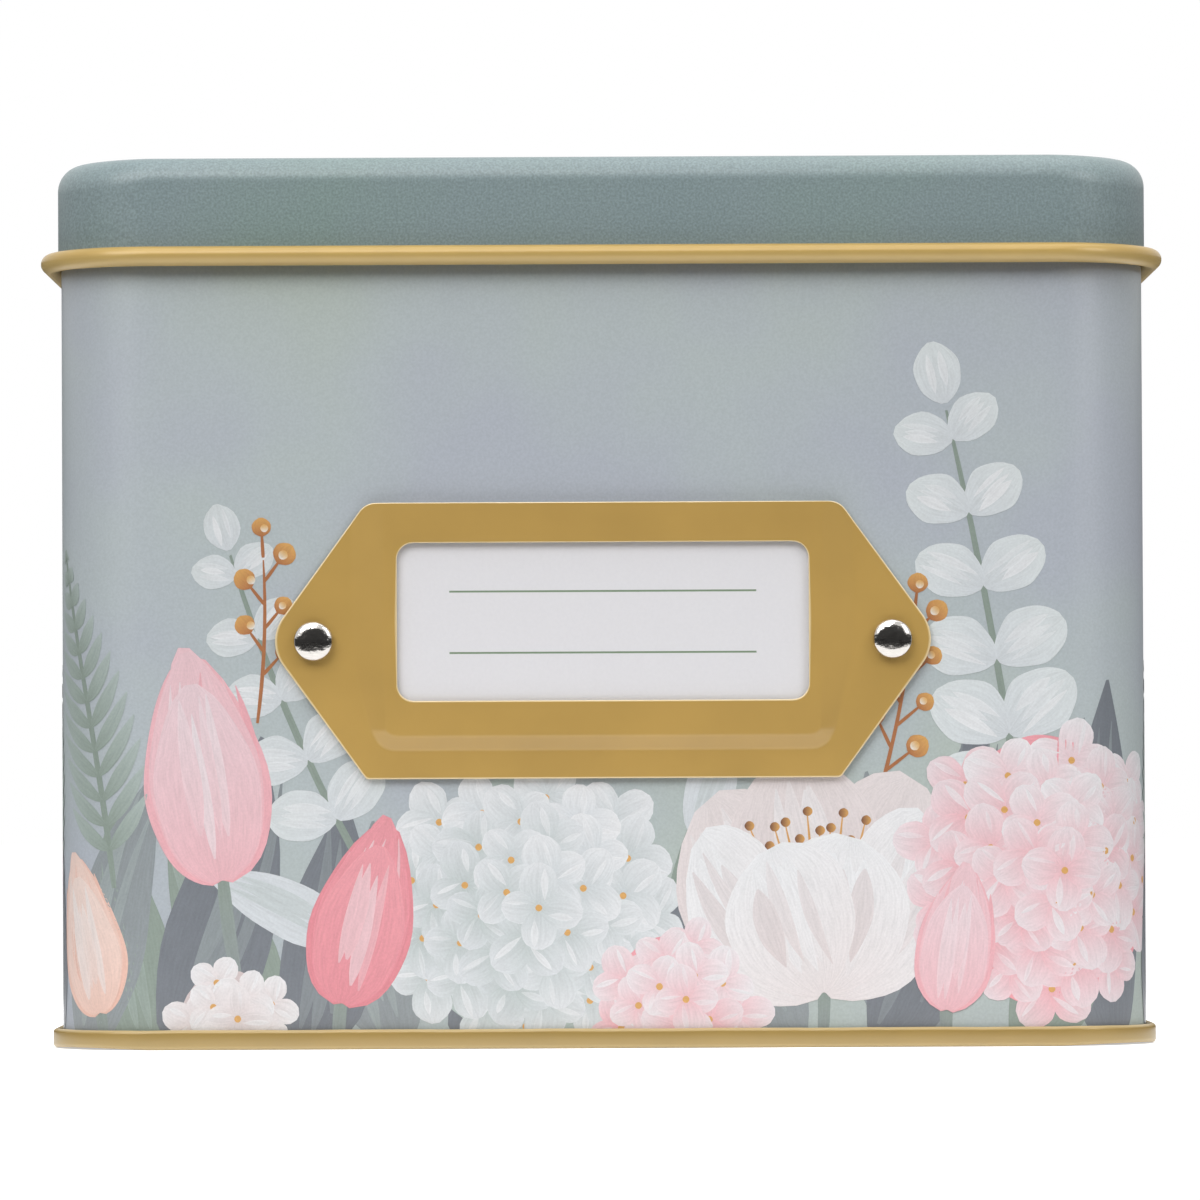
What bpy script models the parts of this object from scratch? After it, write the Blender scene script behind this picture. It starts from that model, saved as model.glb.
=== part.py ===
"""Card tin: a tinplate box with a hinged lid, a riveted label holder and tabbed cards inside.

Lengths are in metres, +Z is up and the front faces -Y. The origin is the middle of the foot.
Most of the sheet metal is drawn as a section: "out" is the distance outwards from the body's wall,
"up" is the height, and the section is carried round the tin's rounded rectangle.
"""

import math

import bmesh
import bpy
from mathutils import Vector

# Sheet and clearances
TINPLATE = 0.00025
CLEARANCE = 0.0003
OVERRUN = 0.002
CORNER_STEPS = 6
ARC_STEPS = 5
MITRE_SHARE = 0.5

# Body
BODY_WIDTH = 0.125
BODY_DEPTH = 0.063
CORNER_RADIUS = 0.011
TIN_HEIGHT = 0.102
NECK_INSET = 0.0011
NECK_BELOW_CURL = 0.001
NECK_RISE = 0.0012
HEM_RADIUS = 0.0007
HEM_HEADROOM = 0.00055
HEM_TURN = 285
LOCK_SEAM_WIDTH = 0.004
LOCK_SEAM_FOLD = 0.0003
LOCK_SEAM_SINK = 0.0001

# Base and its seam
SEAM_PROUD = 0.0012
SEAM_HEIGHT = 0.0023
SEAM_BEND = 0.00035
HOOK_GAP = 0.00025
FLOOR_TOP = 0.003
FLOOR_BEND = 0.0008
PANEL_STEP_IN = 0.0045
PANEL_STEP_RUN = 0.0012
PANEL_DROP = 0.0005

# Lid
LID_PROUD = 0.00036
LID_SHOULDER = 0.003
LID_PANEL_INSET = 0.008
LID_DEPTH = 0.0115
CURL_RADIUS = 0.001125
CURL_TURN = 300

# Hinge
WIRE_SHORT = 0.0025
TONGUE_FROM_END = 0.016
TONGUE_WIDTH = 0.008
TONGUE_TURN = 200
TONGUE_ROOT_LIP = 0.00005
SLIT_WIDTH = 0.0003
SLOT_HEIGHT = 0.0056
NOTCH_SIDE_GAP = 0.0004
NOTCH_TOP_GAP = 0.00045

# Label holder
HOLDER_METAL = 0.0004
HOLDER_WING = 0.0102
HOLDER_HEIGHT = 0.0315
HOLDER_MIDDLE = 0.0465
HOLDER_TIP_RADIUS = 0.0046
HOLDER_TOP_RADIUS = 0.0023
HOLDER_SLOPE = 54
PLATEAU_WIDTH = 0.0492
FOOT_FLANGE = 0.00305
PLATEAU_RISE = 0.0009
SHOULDER_SIDE = 0.0026
SHOULDER_FOOT = 0.0019
PLATEAU_RADIUS = 0.0012
WINDOW_SIDE_BORDER = 0.00115
WINDOW_TOP_BORDER = 0.0046
WINDOW_FOOT_BORDER = 0.00395
WINDOW_RADIUS = 0.0019

# Label card
LABEL_THICKNESS = 0.00035
LABEL_BELOW_TOP = 0.0006

# Rivets
RIVET_FROM_TIP = 0.0044
RIVET_HEAD = 0.0045
RIVET_DOME = 0.00115
RIVET_RIM = 0.00025
RIVET_SHANK = 0.0022
RIVET_TAIL = 0.0042
RIVET_TAIL_THICKNESS = 0.0006
RIVET_SIDES = 20

# Cards
GROUPS = 6
CARDS_IN_GROUP = 5
CARD_SIDE_ROOM = 0.0075
CARD_BELOW_NECK = 0.005
CARD_THICKNESS = 0.00045
CARD_RADIUS = 0.003
CARD_LEAN = 4.5
DIVIDER_RISE = 0.002
TAB_HEIGHT = 0.0065
TAB_WIDTH = 0.0165
TAB_RADIUS = 0.002

# Worked out from the sizes above
HALF_SHEET = TINPLATE / 2
CURL_HEIGHT = TIN_HEIGHT - LID_DEPTH
NECK_START = CURL_HEIGHT - NECK_BELOW_CURL
HEM_TOP = TIN_HEIGHT - TINPLATE - HEM_HEADROOM
HOLDER_WIDTH = PLATEAU_WIDTH + 2 * SHOULDER_SIDE + 2 * HOLDER_WING
HOLDER_TOP = HOLDER_MIDDLE + HOLDER_HEIGHT / 2
PLATEAU_FOOT = HOLDER_MIDDLE - HOLDER_HEIGHT / 2 + FOOT_FLANGE + SHOULDER_FOOT
RIVET_SPACING = HOLDER_WIDTH - 2 * RIVET_FROM_TIP
LID_WALL = LID_PROUD - HALF_SHEET
CURL_BEND = CURL_RADIUS - HALF_SHEET
CURL_OUT = LID_WALL + CURL_BEND
WIRE_RADIUS = CURL_RADIUS - TINPLATE - CLEARANCE
HINGE_Y = BODY_DEPTH / 2 + CURL_OUT
FRONT_WALL_Y = -BODY_DEPTH / 2
PANEL_TOP = FLOOR_TOP - PANEL_DROP
WIRE_LENGTH = BODY_WIDTH - 2 * (CORNER_RADIUS + WIRE_SHORT)
TONGUE_SPACING = WIRE_LENGTH - 2 * TONGUE_FROM_END
CARD_WIDTH = BODY_WIDTH - 2 * CARD_SIDE_ROOM
CARD_HEIGHT = NECK_START - PANEL_TOP - CARD_BELOW_NECK
DIVIDER_HEIGHT = CARD_HEIGHT + DIVIDER_RISE

SAGE = (0.395, 0.440, 0.445)
LID_SAGE = (0.216, 0.283, 0.283)
GOLD = (0.450, 0.300, 0.090)
NICKEL = (0.780, 0.770, 0.750)
PAPER = (0.730, 0.725, 0.735)
CARD_STOCK = (0.800, 0.770, 0.700)
DIVIDER_STOCK = (0.560, 0.610, 0.560)


def clear_scene():
    """Removes whatever the scene holds."""
    for thing in list(bpy.data.objects):
        bpy.data.objects.remove(thing, do_unlink=True)


def finish_named(name, colour, roughness, metallic):
    """A Principled material, made once for each name."""
    material = bpy.data.materials.get(name)
    if material is None:
        material = bpy.data.materials.new(name)
        material.use_nodes = True
        shader = material.node_tree.nodes["Principled BSDF"]
        shader.inputs["Base Color"].default_value = (*colour, 1)
        shader.inputs["Roughness"].default_value = roughness
        shader.inputs["Metallic"].default_value = metallic
        material.diffuse_color = (*colour, 1)
    return material


def object_from(name, shape, material=None):
    """An object made from a bmesh, with its faces pointing out and its round faces smooth."""
    bmesh.ops.recalc_face_normals(shape, faces=shape.faces)
    mesh = bpy.data.meshes.new(name)
    shape.to_mesh(mesh)
    shape.free()
    mesh.shade_smooth()
    mesh.set_sharp_from_angle(angle=math.radians(35))
    thing = bpy.data.objects.new(name, mesh)
    bpy.context.scene.collection.objects.link(thing)
    if material:
        mesh.materials.append(material)
    return thing


def arc(centre, radius, start, end, steps=ARC_STEPS):
    """Points on a circle of the section, from one angle to another in degrees."""
    angles = [math.radians(start + (end - start) * i / steps) for i in range(steps + 1)]
    return [(centre[0] + radius * math.cos(a), centre[1] + radius * math.sin(a)) for a in angles]


def soft_step(start, end, steps=ARC_STEPS):
    """An S-shaped run between two points of the section: height eases in and out along its length."""
    points = []
    for i in range(steps + 1):
        along = i / steps
        eased = along * along * (3 - 2 * along)
        points.append((start[0] + (end[0] - start[0]) * eased, start[1] + (end[1] - start[1]) * along))
    return points


def sheet_sides(path, thickness=TINPLATE):
    """The two faces of a sheet whose middle follows the path, mitred at each point."""
    left, right = [], []
    for i, point in enumerate(path):
        here = Vector(point)
        before = (here - Vector(path[i - 1])).normalized() if i else None
        after = (Vector(path[i + 1]) - here).normalized() if i + 1 < len(path) else None
        first, second = before or after, after or before
        along = (first + second).normalized()
        normal = Vector((-along.y, along.x))
        reach = thickness / 2 / max(normal.dot(Vector((-first.y, first.x))), MITRE_SHARE)
        left.append(here + normal * reach)
        right.append(here - normal * reach)
    return left, right


def rounded_rectangle(half_width, half_height, radius, steps):
    """Points round a rectangle with round corners, counter-clockwise from its right side."""
    points = []
    for turn, (sx, sy) in enumerate(((1, 1), (-1, 1), (-1, -1), (1, -1))):
        centre = (sx * (half_width - radius), sy * (half_height - radius))
        points += arc(centre, radius, 90 * turn, 90 * turn + 90, steps)
    return points


def tin_ring(shape, out, up):
    """A ring of vertices round the tin, so far out from the body's wall and so high."""
    outline = rounded_rectangle(
        BODY_WIDTH / 2 + out, BODY_DEPTH / 2 + out, CORNER_RADIUS + out, CORNER_STEPS
    )
    return [shape.verts.new((x, y, up)) for x, y in outline]


def bridge(shape, first, second):
    """A band of faces between two rings of as many vertices."""
    count = len(first)
    for i in range(count):
        j = (i + 1) % count
        shape.faces.new((first[i], first[j], second[j], second[i]))


def swept_sheet(path, covered):
    """A sheet section carried round the tin; a covered one is closed across the middle at its start."""
    left, right = sheet_sides(path)
    shape = bmesh.new()
    rings = [tin_ring(shape, *point) for point in left + right[::-1]]
    for first, second in zip(rings, rings[1:]):
        bridge(shape, first, second)
    if covered:
        shape.faces.new(rings[0])
        shape.faces.new(rings[-1])
    else:
        bridge(shape, rings[-1], rings[0])
    return shape


def prism(outline, low, high, across):
    """A closed outline extruded between two places along X or along Y; `across` maps a point to space."""
    shape = bmesh.new()
    near = [shape.verts.new(across(point, low)) for point in outline]
    far = [shape.verts.new(across(point, high)) for point in outline]
    bridge(shape, near, far)
    shape.faces.new(near)
    shape.faces.new(far)
    return shape


def along_x(point, x):
    return (x, point[0], point[1])


def along_y(point, y):
    return (point[0], y, point[1])


def helper(thing):
    """Marks a cutter or a shape that a Boolean joins, so that it isn't a piece itself."""
    thing.hide_render = True
    thing.display_type = "WIRE"
    return thing


def combine(thing, other, operation):
    """A live Boolean with another object."""
    step = thing.modifiers.new(operation.title() + " " + other.name, "BOOLEAN")
    step.operation = operation
    step.solver = "EXACT"
    step.object = helper(other)


def box(name, low, high):
    """A plain box between two corners, used as a cutter or as a fold to join."""
    shape = bmesh.new()
    bmesh.ops.create_cube(shape, size=1)
    for vertex in shape.verts:
        vertex.co = [a + (b - a) * (c + 0.5) for a, b, c in zip(low, high, vertex.co)]
    return object_from(name, shape)


def rod(name, radius, x, z, y_near, y_far):
    """A round cutter along Y."""
    outline = arc((x, z), radius, 0, 360, RIVET_SIDES)[:-1]
    return object_from(name, prism(outline, y_near, y_far, along_y))


def rivet_places():
    return {"left": -RIVET_SPACING / 2, "right": RIVET_SPACING / 2}


def tongue_places():
    return (-TONGUE_SPACING / 2, TONGUE_SPACING / 2)


def tongue_shape(name, middle):
    """A tongue bent out of the neck over the wire and curled round it."""
    root = (HINGE_Y - (CURL_OUT + NECK_INSET + TINPLATE + TONGUE_ROOT_LIP), CURL_HEIGHT + CURL_BEND)
    curl = arc((HINGE_Y, CURL_HEIGHT), CURL_BEND, 90, 90 - TONGUE_TURN, 4 * ARC_STEPS)
    left, right = sheet_sides([root] + curl)
    outline = left + right[::-1]
    return object_from(
        name, prism(outline, middle - TONGUE_WIDTH / 2, middle + TONGUE_WIDTH / 2, along_x)
    )


def make_body_shell():
    """The wrapper: a flange in the base's seam, a plain wall, a neck for the lid and a hem rolled inwards."""
    flange_up = TINPLATE + CLEARANCE + HALF_SHEET
    flange_bend = TINPLATE
    hem_bend = HEM_RADIUS - HALF_SHEET
    hem_centre = (-NECK_INSET - HEM_RADIUS, HEM_TOP - HEM_RADIUS)
    flange_tip = SEAM_PROUD - TINPLATE - HOOK_GAP
    path = [(flange_tip, flange_up)]
    path += arc((flange_bend - HALF_SHEET, flange_up + flange_bend), flange_bend, 270, 180, 3)
    path += soft_step((-HALF_SHEET, NECK_START), (-NECK_INSET - HALF_SHEET, NECK_START + NECK_RISE))
    path += arc(hem_centre, hem_bend, 0, HEM_TURN, 3 * ARC_STEPS)
    enamel = finish_named("sage_enamel", SAGE, 0.38, 0)
    shell = object_from("body_shell", swept_sheet(path, covered=False), enamel)

    inner_face = BODY_DEPTH / 2 - TINPLATE
    fold = box(
        "lock_seam_fold",
        (-LOCK_SEAM_WIDTH / 2, inner_face - LOCK_SEAM_FOLD, FLOOR_TOP + CLEARANCE),
        (LOCK_SEAM_WIDTH / 2, inner_face + LOCK_SEAM_SINK, NECK_START),
    )
    combine(shell, fold, "UNION")
    neck_y = BODY_DEPTH / 2 - NECK_INSET
    slot_foot = CURL_HEIGHT + CURL_BEND
    for side, middle in zip(("left", "right"), tongue_places()):
        half_slot = TONGUE_WIDTH / 2 + SLIT_WIDTH
        slot = box(
            "tongue_slot_" + side,
            (middle - half_slot, neck_y - OVERRUN, slot_foot),
            (middle + half_slot, neck_y + OVERRUN, slot_foot + SLOT_HEIGHT),
        )
        combine(shell, slot, "DIFFERENCE")
        combine(shell, tongue_shape("tongue_" + side, middle), "UNION")
    for side, x in rivet_places().items():
        hole = rod(
            "body_rivet_hole_" + side,
            RIVET_SHANK / 2 + CLEARANCE,
            x,
            HOLDER_MIDDLE,
            FRONT_WALL_Y - OVERRUN,
            FRONT_WALL_Y + OVERRUN,
        )
        combine(shell, hole, "DIFFERENCE")


def make_base_panel():
    """The bottom: a stepped floor, a wall inside the body and a seam that hooks over the body's flange."""
    wall = -(TINPLATE + CLEARANCE + HALF_SHEET)
    outer = SEAM_PROUD - HALF_SHEET
    hook = HOOK_GAP + HALF_SHEET
    top_bend = (outer - hook) / 2
    floor = FLOOR_TOP - HALF_SHEET
    step_out = wall - PANEL_STEP_IN
    step_in = step_out - PANEL_STEP_RUN
    hook_end = TINPLATE + CLEARANCE + TINPLATE + HOOK_GAP
    path = [(step_in - PANEL_STEP_RUN, floor - PANEL_DROP), (step_in, floor - PANEL_DROP)]
    path += [(step_out, floor)]
    path += arc((wall - FLOOR_BEND, floor - FLOOR_BEND), FLOOR_BEND, 90, 0, 3)
    path += arc((wall + SEAM_BEND, HALF_SHEET + SEAM_BEND), SEAM_BEND, 180, 270, 3)
    path += arc((outer - SEAM_BEND, HALF_SHEET + SEAM_BEND), SEAM_BEND, 270, 360, 3)
    path += arc((hook + top_bend, SEAM_HEIGHT - HALF_SHEET - top_bend), top_bend, 0, 180)
    path += [(hook, hook_end)]
    gold = finish_named("gold_enamel", GOLD, 0.35, 0.3)
    object_from("base_panel", swept_sheet(path, covered=True), gold)


def make_lid_shell():
    """The lid: a drawn cap whose lower edge is curled outwards, notched for the body's tongues."""
    shoulder = LID_SHOULDER - HALF_SHEET
    shoulder_centre = (LID_PROUD - LID_SHOULDER, TIN_HEIGHT - LID_SHOULDER)
    path = [(shoulder_centre[0] - LID_PANEL_INSET + LID_SHOULDER, TIN_HEIGHT - HALF_SHEET)]
    path += arc(shoulder_centre, shoulder, 90, 0, ARC_STEPS + 1)
    path += arc((CURL_OUT, CURL_HEIGHT), CURL_BEND, 180, 180 + CURL_TURN, 3 * ARC_STEPS + 1)
    enamel = finish_named("lid_enamel", LID_SAGE, 0.38, 0)
    lid = object_from("lid_shell", swept_sheet(path, covered=True), enamel)
    for side, middle in zip(("left", "right"), tongue_places()):
        half_notch = TONGUE_WIDTH / 2 + NOTCH_SIDE_GAP
        notch = box(
            "lid_notch_" + side,
            (middle - half_notch, BODY_DEPTH / 2 - OVERRUN, CURL_HEIGHT - CURL_RADIUS - OVERRUN),
            (middle + half_notch, HINGE_Y + OVERRUN, CURL_HEIGHT + CURL_RADIUS + NOTCH_TOP_GAP),
        )
        combine(lid, notch, "DIFFERENCE")


def make_hinge_wire():
    """A straight wire with rounded ends, its origin on the lid's axis."""
    end_round = WIRE_RADIUS / 2
    profile = [
        (-WIRE_LENGTH / 2, WIRE_RADIUS - end_round),
        (end_round - WIRE_LENGTH / 2, WIRE_RADIUS),
        (WIRE_LENGTH / 2 - end_round, WIRE_RADIUS),
        (WIRE_LENGTH / 2, WIRE_RADIUS - end_round),
    ]
    shape = bmesh.new()
    rings = []
    for x, radius in profile:
        circle = arc((0, 0), radius, 0, 360, RIVET_SIDES)[:-1]
        rings.append([shape.verts.new((x, y, z)) for y, z in circle])
    for first, second in zip(rings, rings[1:]):
        bridge(shape, first, second)
    shape.faces.new(rings[0])
    shape.faces.new(rings[-1])
    steel = finish_named("bright_wire", NICKEL, 0.3, 1)
    wire = object_from("hinge_wire", shape, steel)
    wire.location = (0, HINGE_Y, CURL_HEIGHT)


def corner_arc(corner, before, after, radius, steps):
    """The fillet of one corner between two neighbours, tangent to both sides."""
    to_before = (Vector(before) - Vector(corner)).normalized()
    to_after = (Vector(after) - Vector(corner)).normalized()
    half_angle = to_before.angle(to_after) / 2
    middle = (to_before + to_after).normalized()
    centre = Vector(corner) + middle * (radius / math.sin(half_angle))
    start = Vector(corner) + to_before * (radius / math.tan(half_angle)) - centre
    sweep = math.pi - 2 * half_angle
    turn = math.copysign(1, start.x * middle.y - start.y * middle.x) * -1
    points = []
    for i in range(steps + 1):
        angle = turn * sweep * i / steps
        spun = Vector(
            (
                start.x * math.cos(angle) - start.y * math.sin(angle),
                start.x * math.sin(angle) + start.y * math.cos(angle),
            )
        )
        points.append(tuple(centre + spun))
    return points


def holder_outline():
    """The six-sided outline: round tips at the sides, soft corners above and crisp ones below."""
    half_height = HOLDER_HEIGHT / 2
    slope = math.radians(HOLDER_SLOPE)
    tip = HOLDER_WIDTH / 2 + HOLDER_TIP_RADIUS * (1 / math.sin(slope) - 1)
    half_top = tip - half_height / math.tan(slope)
    top, foot = HOLDER_TOP, HOLDER_MIDDLE - half_height
    corners = [
        ((tip, HOLDER_MIDDLE), HOLDER_TIP_RADIUS, 2 * ARC_STEPS),
        ((half_top, top), HOLDER_TOP_RADIUS, ARC_STEPS),
        ((-half_top, top), HOLDER_TOP_RADIUS, ARC_STEPS),
        ((-tip, HOLDER_MIDDLE), HOLDER_TIP_RADIUS, 2 * ARC_STEPS),
        ((-half_top, foot), HOLDER_METAL, 2),
        ((half_top, foot), HOLDER_METAL, 2),
    ]
    outline = []
    for i, (corner, radius, steps) in enumerate(corners):
        before = corners[i - 1][0]
        after = corners[(i + 1) % len(corners)][0]
        outline += corner_arc(corner, before, after, radius, steps)
    return outline


def make_label_holder():
    """A pressed frame: flat wings on the body, and a raised middle that leaves a pocket open at the top."""
    wing_face = FRONT_WALL_Y - CLEARANCE - HOLDER_METAL
    shape = bmesh.new()
    sides = []
    for behind in (0, HOLDER_METAL):
        rings = []
        blank = (HOLDER_WIDTH / 2 + OVERRUN, HOLDER_HEIGHT / 2 + 2 * OVERRUN)
        outline = rounded_rectangle(*blank, PLATEAU_RADIUS, ARC_STEPS)
        rings.append([shape.verts.new((x, wing_face + behind, HOLDER_MIDDLE + z)) for x, z in outline])
        for sunk, spread in soft_step((1, 1), (0, 0)):
            half_width = PLATEAU_WIDTH / 2 + SHOULDER_SIDE * spread
            foot = PLATEAU_FOOT - SHOULDER_FOOT * spread
            head = HOLDER_TOP + OVERRUN + OVERRUN / 2 * spread
            radius = PLATEAU_RADIUS + SHOULDER_FOOT * spread
            outline = rounded_rectangle(half_width, (head - foot) / 2, radius, ARC_STEPS)
            level = wing_face + behind - PLATEAU_RISE * (1 - sunk)
            rings.append([shape.verts.new((x, level, (head + foot) / 2 + z)) for x, z in outline])
        for first, second in zip(rings, rings[1:]):
            bridge(shape, first, second)
        shape.faces.new(rings[-1])
        sides.append(rings[0])
    bridge(shape, *sides)
    gold = finish_named("holder_enamel", GOLD, 0.3, 0.3)
    holder = object_from("label_holder", shape, gold)

    near, far = wing_face - PLATEAU_RISE - OVERRUN, FRONT_WALL_Y + OVERRUN
    blank = object_from("holder_blank", prism(holder_outline(), near, far, along_y))
    combine(holder, blank, "INTERSECT")
    foot, head = PLATEAU_FOOT + WINDOW_FOOT_BORDER, HOLDER_TOP - WINDOW_TOP_BORDER
    half_width = PLATEAU_WIDTH / 2 - WINDOW_SIDE_BORDER
    outline = rounded_rectangle(half_width, (head - foot) / 2, WINDOW_RADIUS, ARC_STEPS)
    outline = [(x, z + (head + foot) / 2) for x, z in outline]
    combine(holder, object_from("holder_window", prism(outline, near, far, along_y)), "DIFFERENCE")
    for side, x in rivet_places().items():
        radius = RIVET_SHANK / 2 + CLEARANCE
        hole = rod("holder_rivet_hole_" + side, radius, x, HOLDER_MIDDLE, near, far)
        combine(holder, hole, "DIFFERENCE")


def make_label_card():
    """The card in the holder's pocket, standing on the pocket's lower shoulder."""
    plateau_back = FRONT_WALL_Y - CLEARANCE - PLATEAU_RISE
    low, high = PLATEAU_FOOT, HOLDER_TOP - LABEL_BELOW_TOP
    middle = (low + high) / 2
    outline = rounded_rectangle(PLATEAU_WIDTH / 2, (high - low) / 2, LABEL_THICKNESS, 2)
    outline = [(x, z + middle) for x, z in outline]
    near = plateau_back + CLEARANCE
    paper = finish_named("label_paper", PAPER, 0.7, 0)
    object_from("label_card", prism(outline, near, near + LABEL_THICKNESS, along_y), paper)


def make_rivets():
    """Dome heads on the holder, shanks through both sheets and clinched tails inside the wall."""
    head_seat = FRONT_WALL_Y - CLEARANCE - HOLDER_METAL - CLEARANCE
    tail_seat = FRONT_WALL_Y + TINPLATE + CLEARANCE
    half_head = RIVET_HEAD / 2
    dome = RIVET_DOME - RIVET_RIM
    steps = ARC_STEPS + 1
    profile = [(0, head_seat - RIVET_DOME)]
    for i in range(1, steps + 1):
        angle = math.radians(90 * i / steps)
        profile.append((half_head * math.sin(angle), head_seat - RIVET_RIM - dome * math.cos(angle)))
    profile += [
        (half_head, head_seat),
        (RIVET_SHANK / 2, head_seat),
        (RIVET_SHANK / 2, tail_seat),
        (RIVET_TAIL / 2, tail_seat),
        (RIVET_TAIL / 2, tail_seat + RIVET_TAIL_THICKNESS / 2),
        (RIVET_SHANK / 2, tail_seat + RIVET_TAIL_THICKNESS),
        (0, tail_seat + RIVET_TAIL_THICKNESS),
    ]
    nickel = finish_named("nickel", NICKEL, 0.15, 1)
    for side, x in rivet_places().items():
        shape = bmesh.new()
        rings = []
        for radius, y in profile:
            if radius == 0:
                rings.append([shape.verts.new((0, y, 0))])
                continue
            circle = arc((0, 0), radius, 0, 360, RIVET_SIDES)[:-1]
            rings.append([shape.verts.new((px, y, pz)) for px, pz in circle])
        for first, second in zip(rings, rings[1:]):
            if len(first) > 1 and len(second) > 1:
                bridge(shape, first, second)
                continue
            tip, ring = (first, second) if len(first) == 1 else (second, first)
            for i in range(len(ring)):
                shape.faces.new((tip[0], ring[i], ring[(i + 1) % len(ring)]))
        rivet = object_from("rivet_" + side, shape, nickel)
        rivet.location = (x, 0, HOLDER_MIDDLE)


def card_outline():
    """A plain card with round corners, its foot at zero."""
    half = CARD_HEIGHT / 2
    return [(x, z + half) for x, z in rounded_rectangle(CARD_WIDTH / 2, half, CARD_RADIUS, 3)]


def divider_outline(group):
    """A card with a tab on its upper edge; the tabs step across the width from group to group."""
    half_width = CARD_WIDTH / 2
    run = CARD_WIDTH - 2 * CARD_RADIUS - TAB_WIDTH
    left = -half_width + CARD_RADIUS + run * group / (GROUPS - 1)
    right = left + TAB_WIDTH
    top = DIVIDER_HEIGHT + TAB_HEIGHT
    slope = TAB_RADIUS
    body = arc((half_width - CARD_RADIUS, CARD_RADIUS), CARD_RADIUS, 270, 360, 3)
    body += arc((half_width - CARD_RADIUS, DIVIDER_HEIGHT - CARD_RADIUS), CARD_RADIUS, 0, 90, 3)
    tab = [(right, DIVIDER_HEIGHT)]
    tab += arc((right - slope - TAB_RADIUS, top - TAB_RADIUS), TAB_RADIUS, 15, 90, 3)
    tab += arc((left + slope + TAB_RADIUS, top - TAB_RADIUS), TAB_RADIUS, 90, 165, 3)
    tab += [(left, DIVIDER_HEIGHT)]
    far = arc((CARD_RADIUS - half_width, DIVIDER_HEIGHT - CARD_RADIUS), CARD_RADIUS, 90, 180, 3)
    far += arc((CARD_RADIUS - half_width, CARD_RADIUS), CARD_RADIUS, 180, 270, 3)
    outline = []
    for point in body + tab + far:
        if not outline or (Vector(point) - Vector(outline[-1])).length > TINPLATE:
            outline.append(point)
    return outline


def make_cards():
    """Groups of a divider and cards that lean back on the tin's back wall, each sheet on the floor."""
    lean = math.radians(CARD_LEAN)
    pitch = (CARD_THICKNESS + CLEARANCE) / math.cos(lean)
    back_face = BODY_DEPTH / 2 - TINPLATE - LOCK_SEAM_FOLD - CLEARANCE
    last_foot = back_face - CARD_HEIGHT * math.sin(lean) - CARD_THICKNESS * math.cos(lean)
    foot_up = PANEL_TOP + CLEARANCE + CARD_THICKNESS * math.sin(lean)
    in_group = CARDS_IN_GROUP + 1
    plain = finish_named("card_stock", CARD_STOCK, 0.75, 0)
    tinted = finish_named("divider_stock", DIVIDER_STOCK, 0.75, 0)
    for place in range(GROUPS * in_group):
        group, member = divmod(place, in_group)
        foot = last_foot - (GROUPS * in_group - 1 - place) * pitch
        if member == 0:
            name, outline, stock = f"divider_{group + 1}", divider_outline(group), tinted
            hinge = bpy.data.objects.new(f"tilt_{group + 1}", None)
            bpy.context.scene.collection.objects.link(hinge)
            hinge.location = (0, foot, foot_up)
            hinge.rotation_euler = (-lean, 0, 0)
            print(f"cards {group + 1} tilt about y {foot:.6f} z {foot_up:.6f}")
        else:
            name, outline, stock = f"prayer_card_{group + 1}_{member}", card_outline(), plain
        sheet = object_from(name, prism(outline, 0, CARD_THICKNESS, along_y), stock)
        sheet.parent = hinge
        shift = Vector((0, foot - hinge.location.y, 0))
        sheet.location = hinge.rotation_euler.to_matrix().transposed() @ shift


def main():
    clear_scene()
    make_body_shell()
    make_base_panel()
    make_lid_shell()
    make_hinge_wire()
    make_label_holder()
    make_label_card()
    make_rivets()
    make_cards()
    print(f"lid turns about y {HINGE_Y:.6f} z {CURL_HEIGHT:.6f}")


main()
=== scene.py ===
# %% [markdown]
# # A card tin, dressed for its picture
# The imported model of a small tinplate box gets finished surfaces: a drawn lid with a rolled gold rim, a
# printed wrapper, a hooked base seam and a pressed label holder. Each new piece is a surface worked out
# with numpy, so its shape reads as a formula. Lengths are in metres, +Z is up and the front faces -Y.

# %% Load the frame
import math

import bmesh
import bpy
import numpy as np
from mathutils import Matrix, Vector


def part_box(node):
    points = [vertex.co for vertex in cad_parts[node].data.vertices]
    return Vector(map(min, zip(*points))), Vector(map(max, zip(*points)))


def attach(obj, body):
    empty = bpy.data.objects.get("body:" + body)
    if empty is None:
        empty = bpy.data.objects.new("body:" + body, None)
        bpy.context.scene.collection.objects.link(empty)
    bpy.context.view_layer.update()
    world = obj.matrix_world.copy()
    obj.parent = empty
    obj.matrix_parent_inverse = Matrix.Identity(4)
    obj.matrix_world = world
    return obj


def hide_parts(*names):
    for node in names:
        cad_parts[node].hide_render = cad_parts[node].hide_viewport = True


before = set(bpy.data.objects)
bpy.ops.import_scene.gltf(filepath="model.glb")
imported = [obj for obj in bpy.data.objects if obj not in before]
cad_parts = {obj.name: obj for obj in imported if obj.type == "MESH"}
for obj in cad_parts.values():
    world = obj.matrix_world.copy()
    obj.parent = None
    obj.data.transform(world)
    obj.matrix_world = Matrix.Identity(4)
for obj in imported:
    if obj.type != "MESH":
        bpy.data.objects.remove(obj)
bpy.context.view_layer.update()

# %% [markdown]
# The tin's sizes repeat those of the imported model, so that a finished piece lands where its plain
# solid is. Sheet metal is drawn as a section: `out` is the distance outwards from the wrapper's wall.

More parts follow.
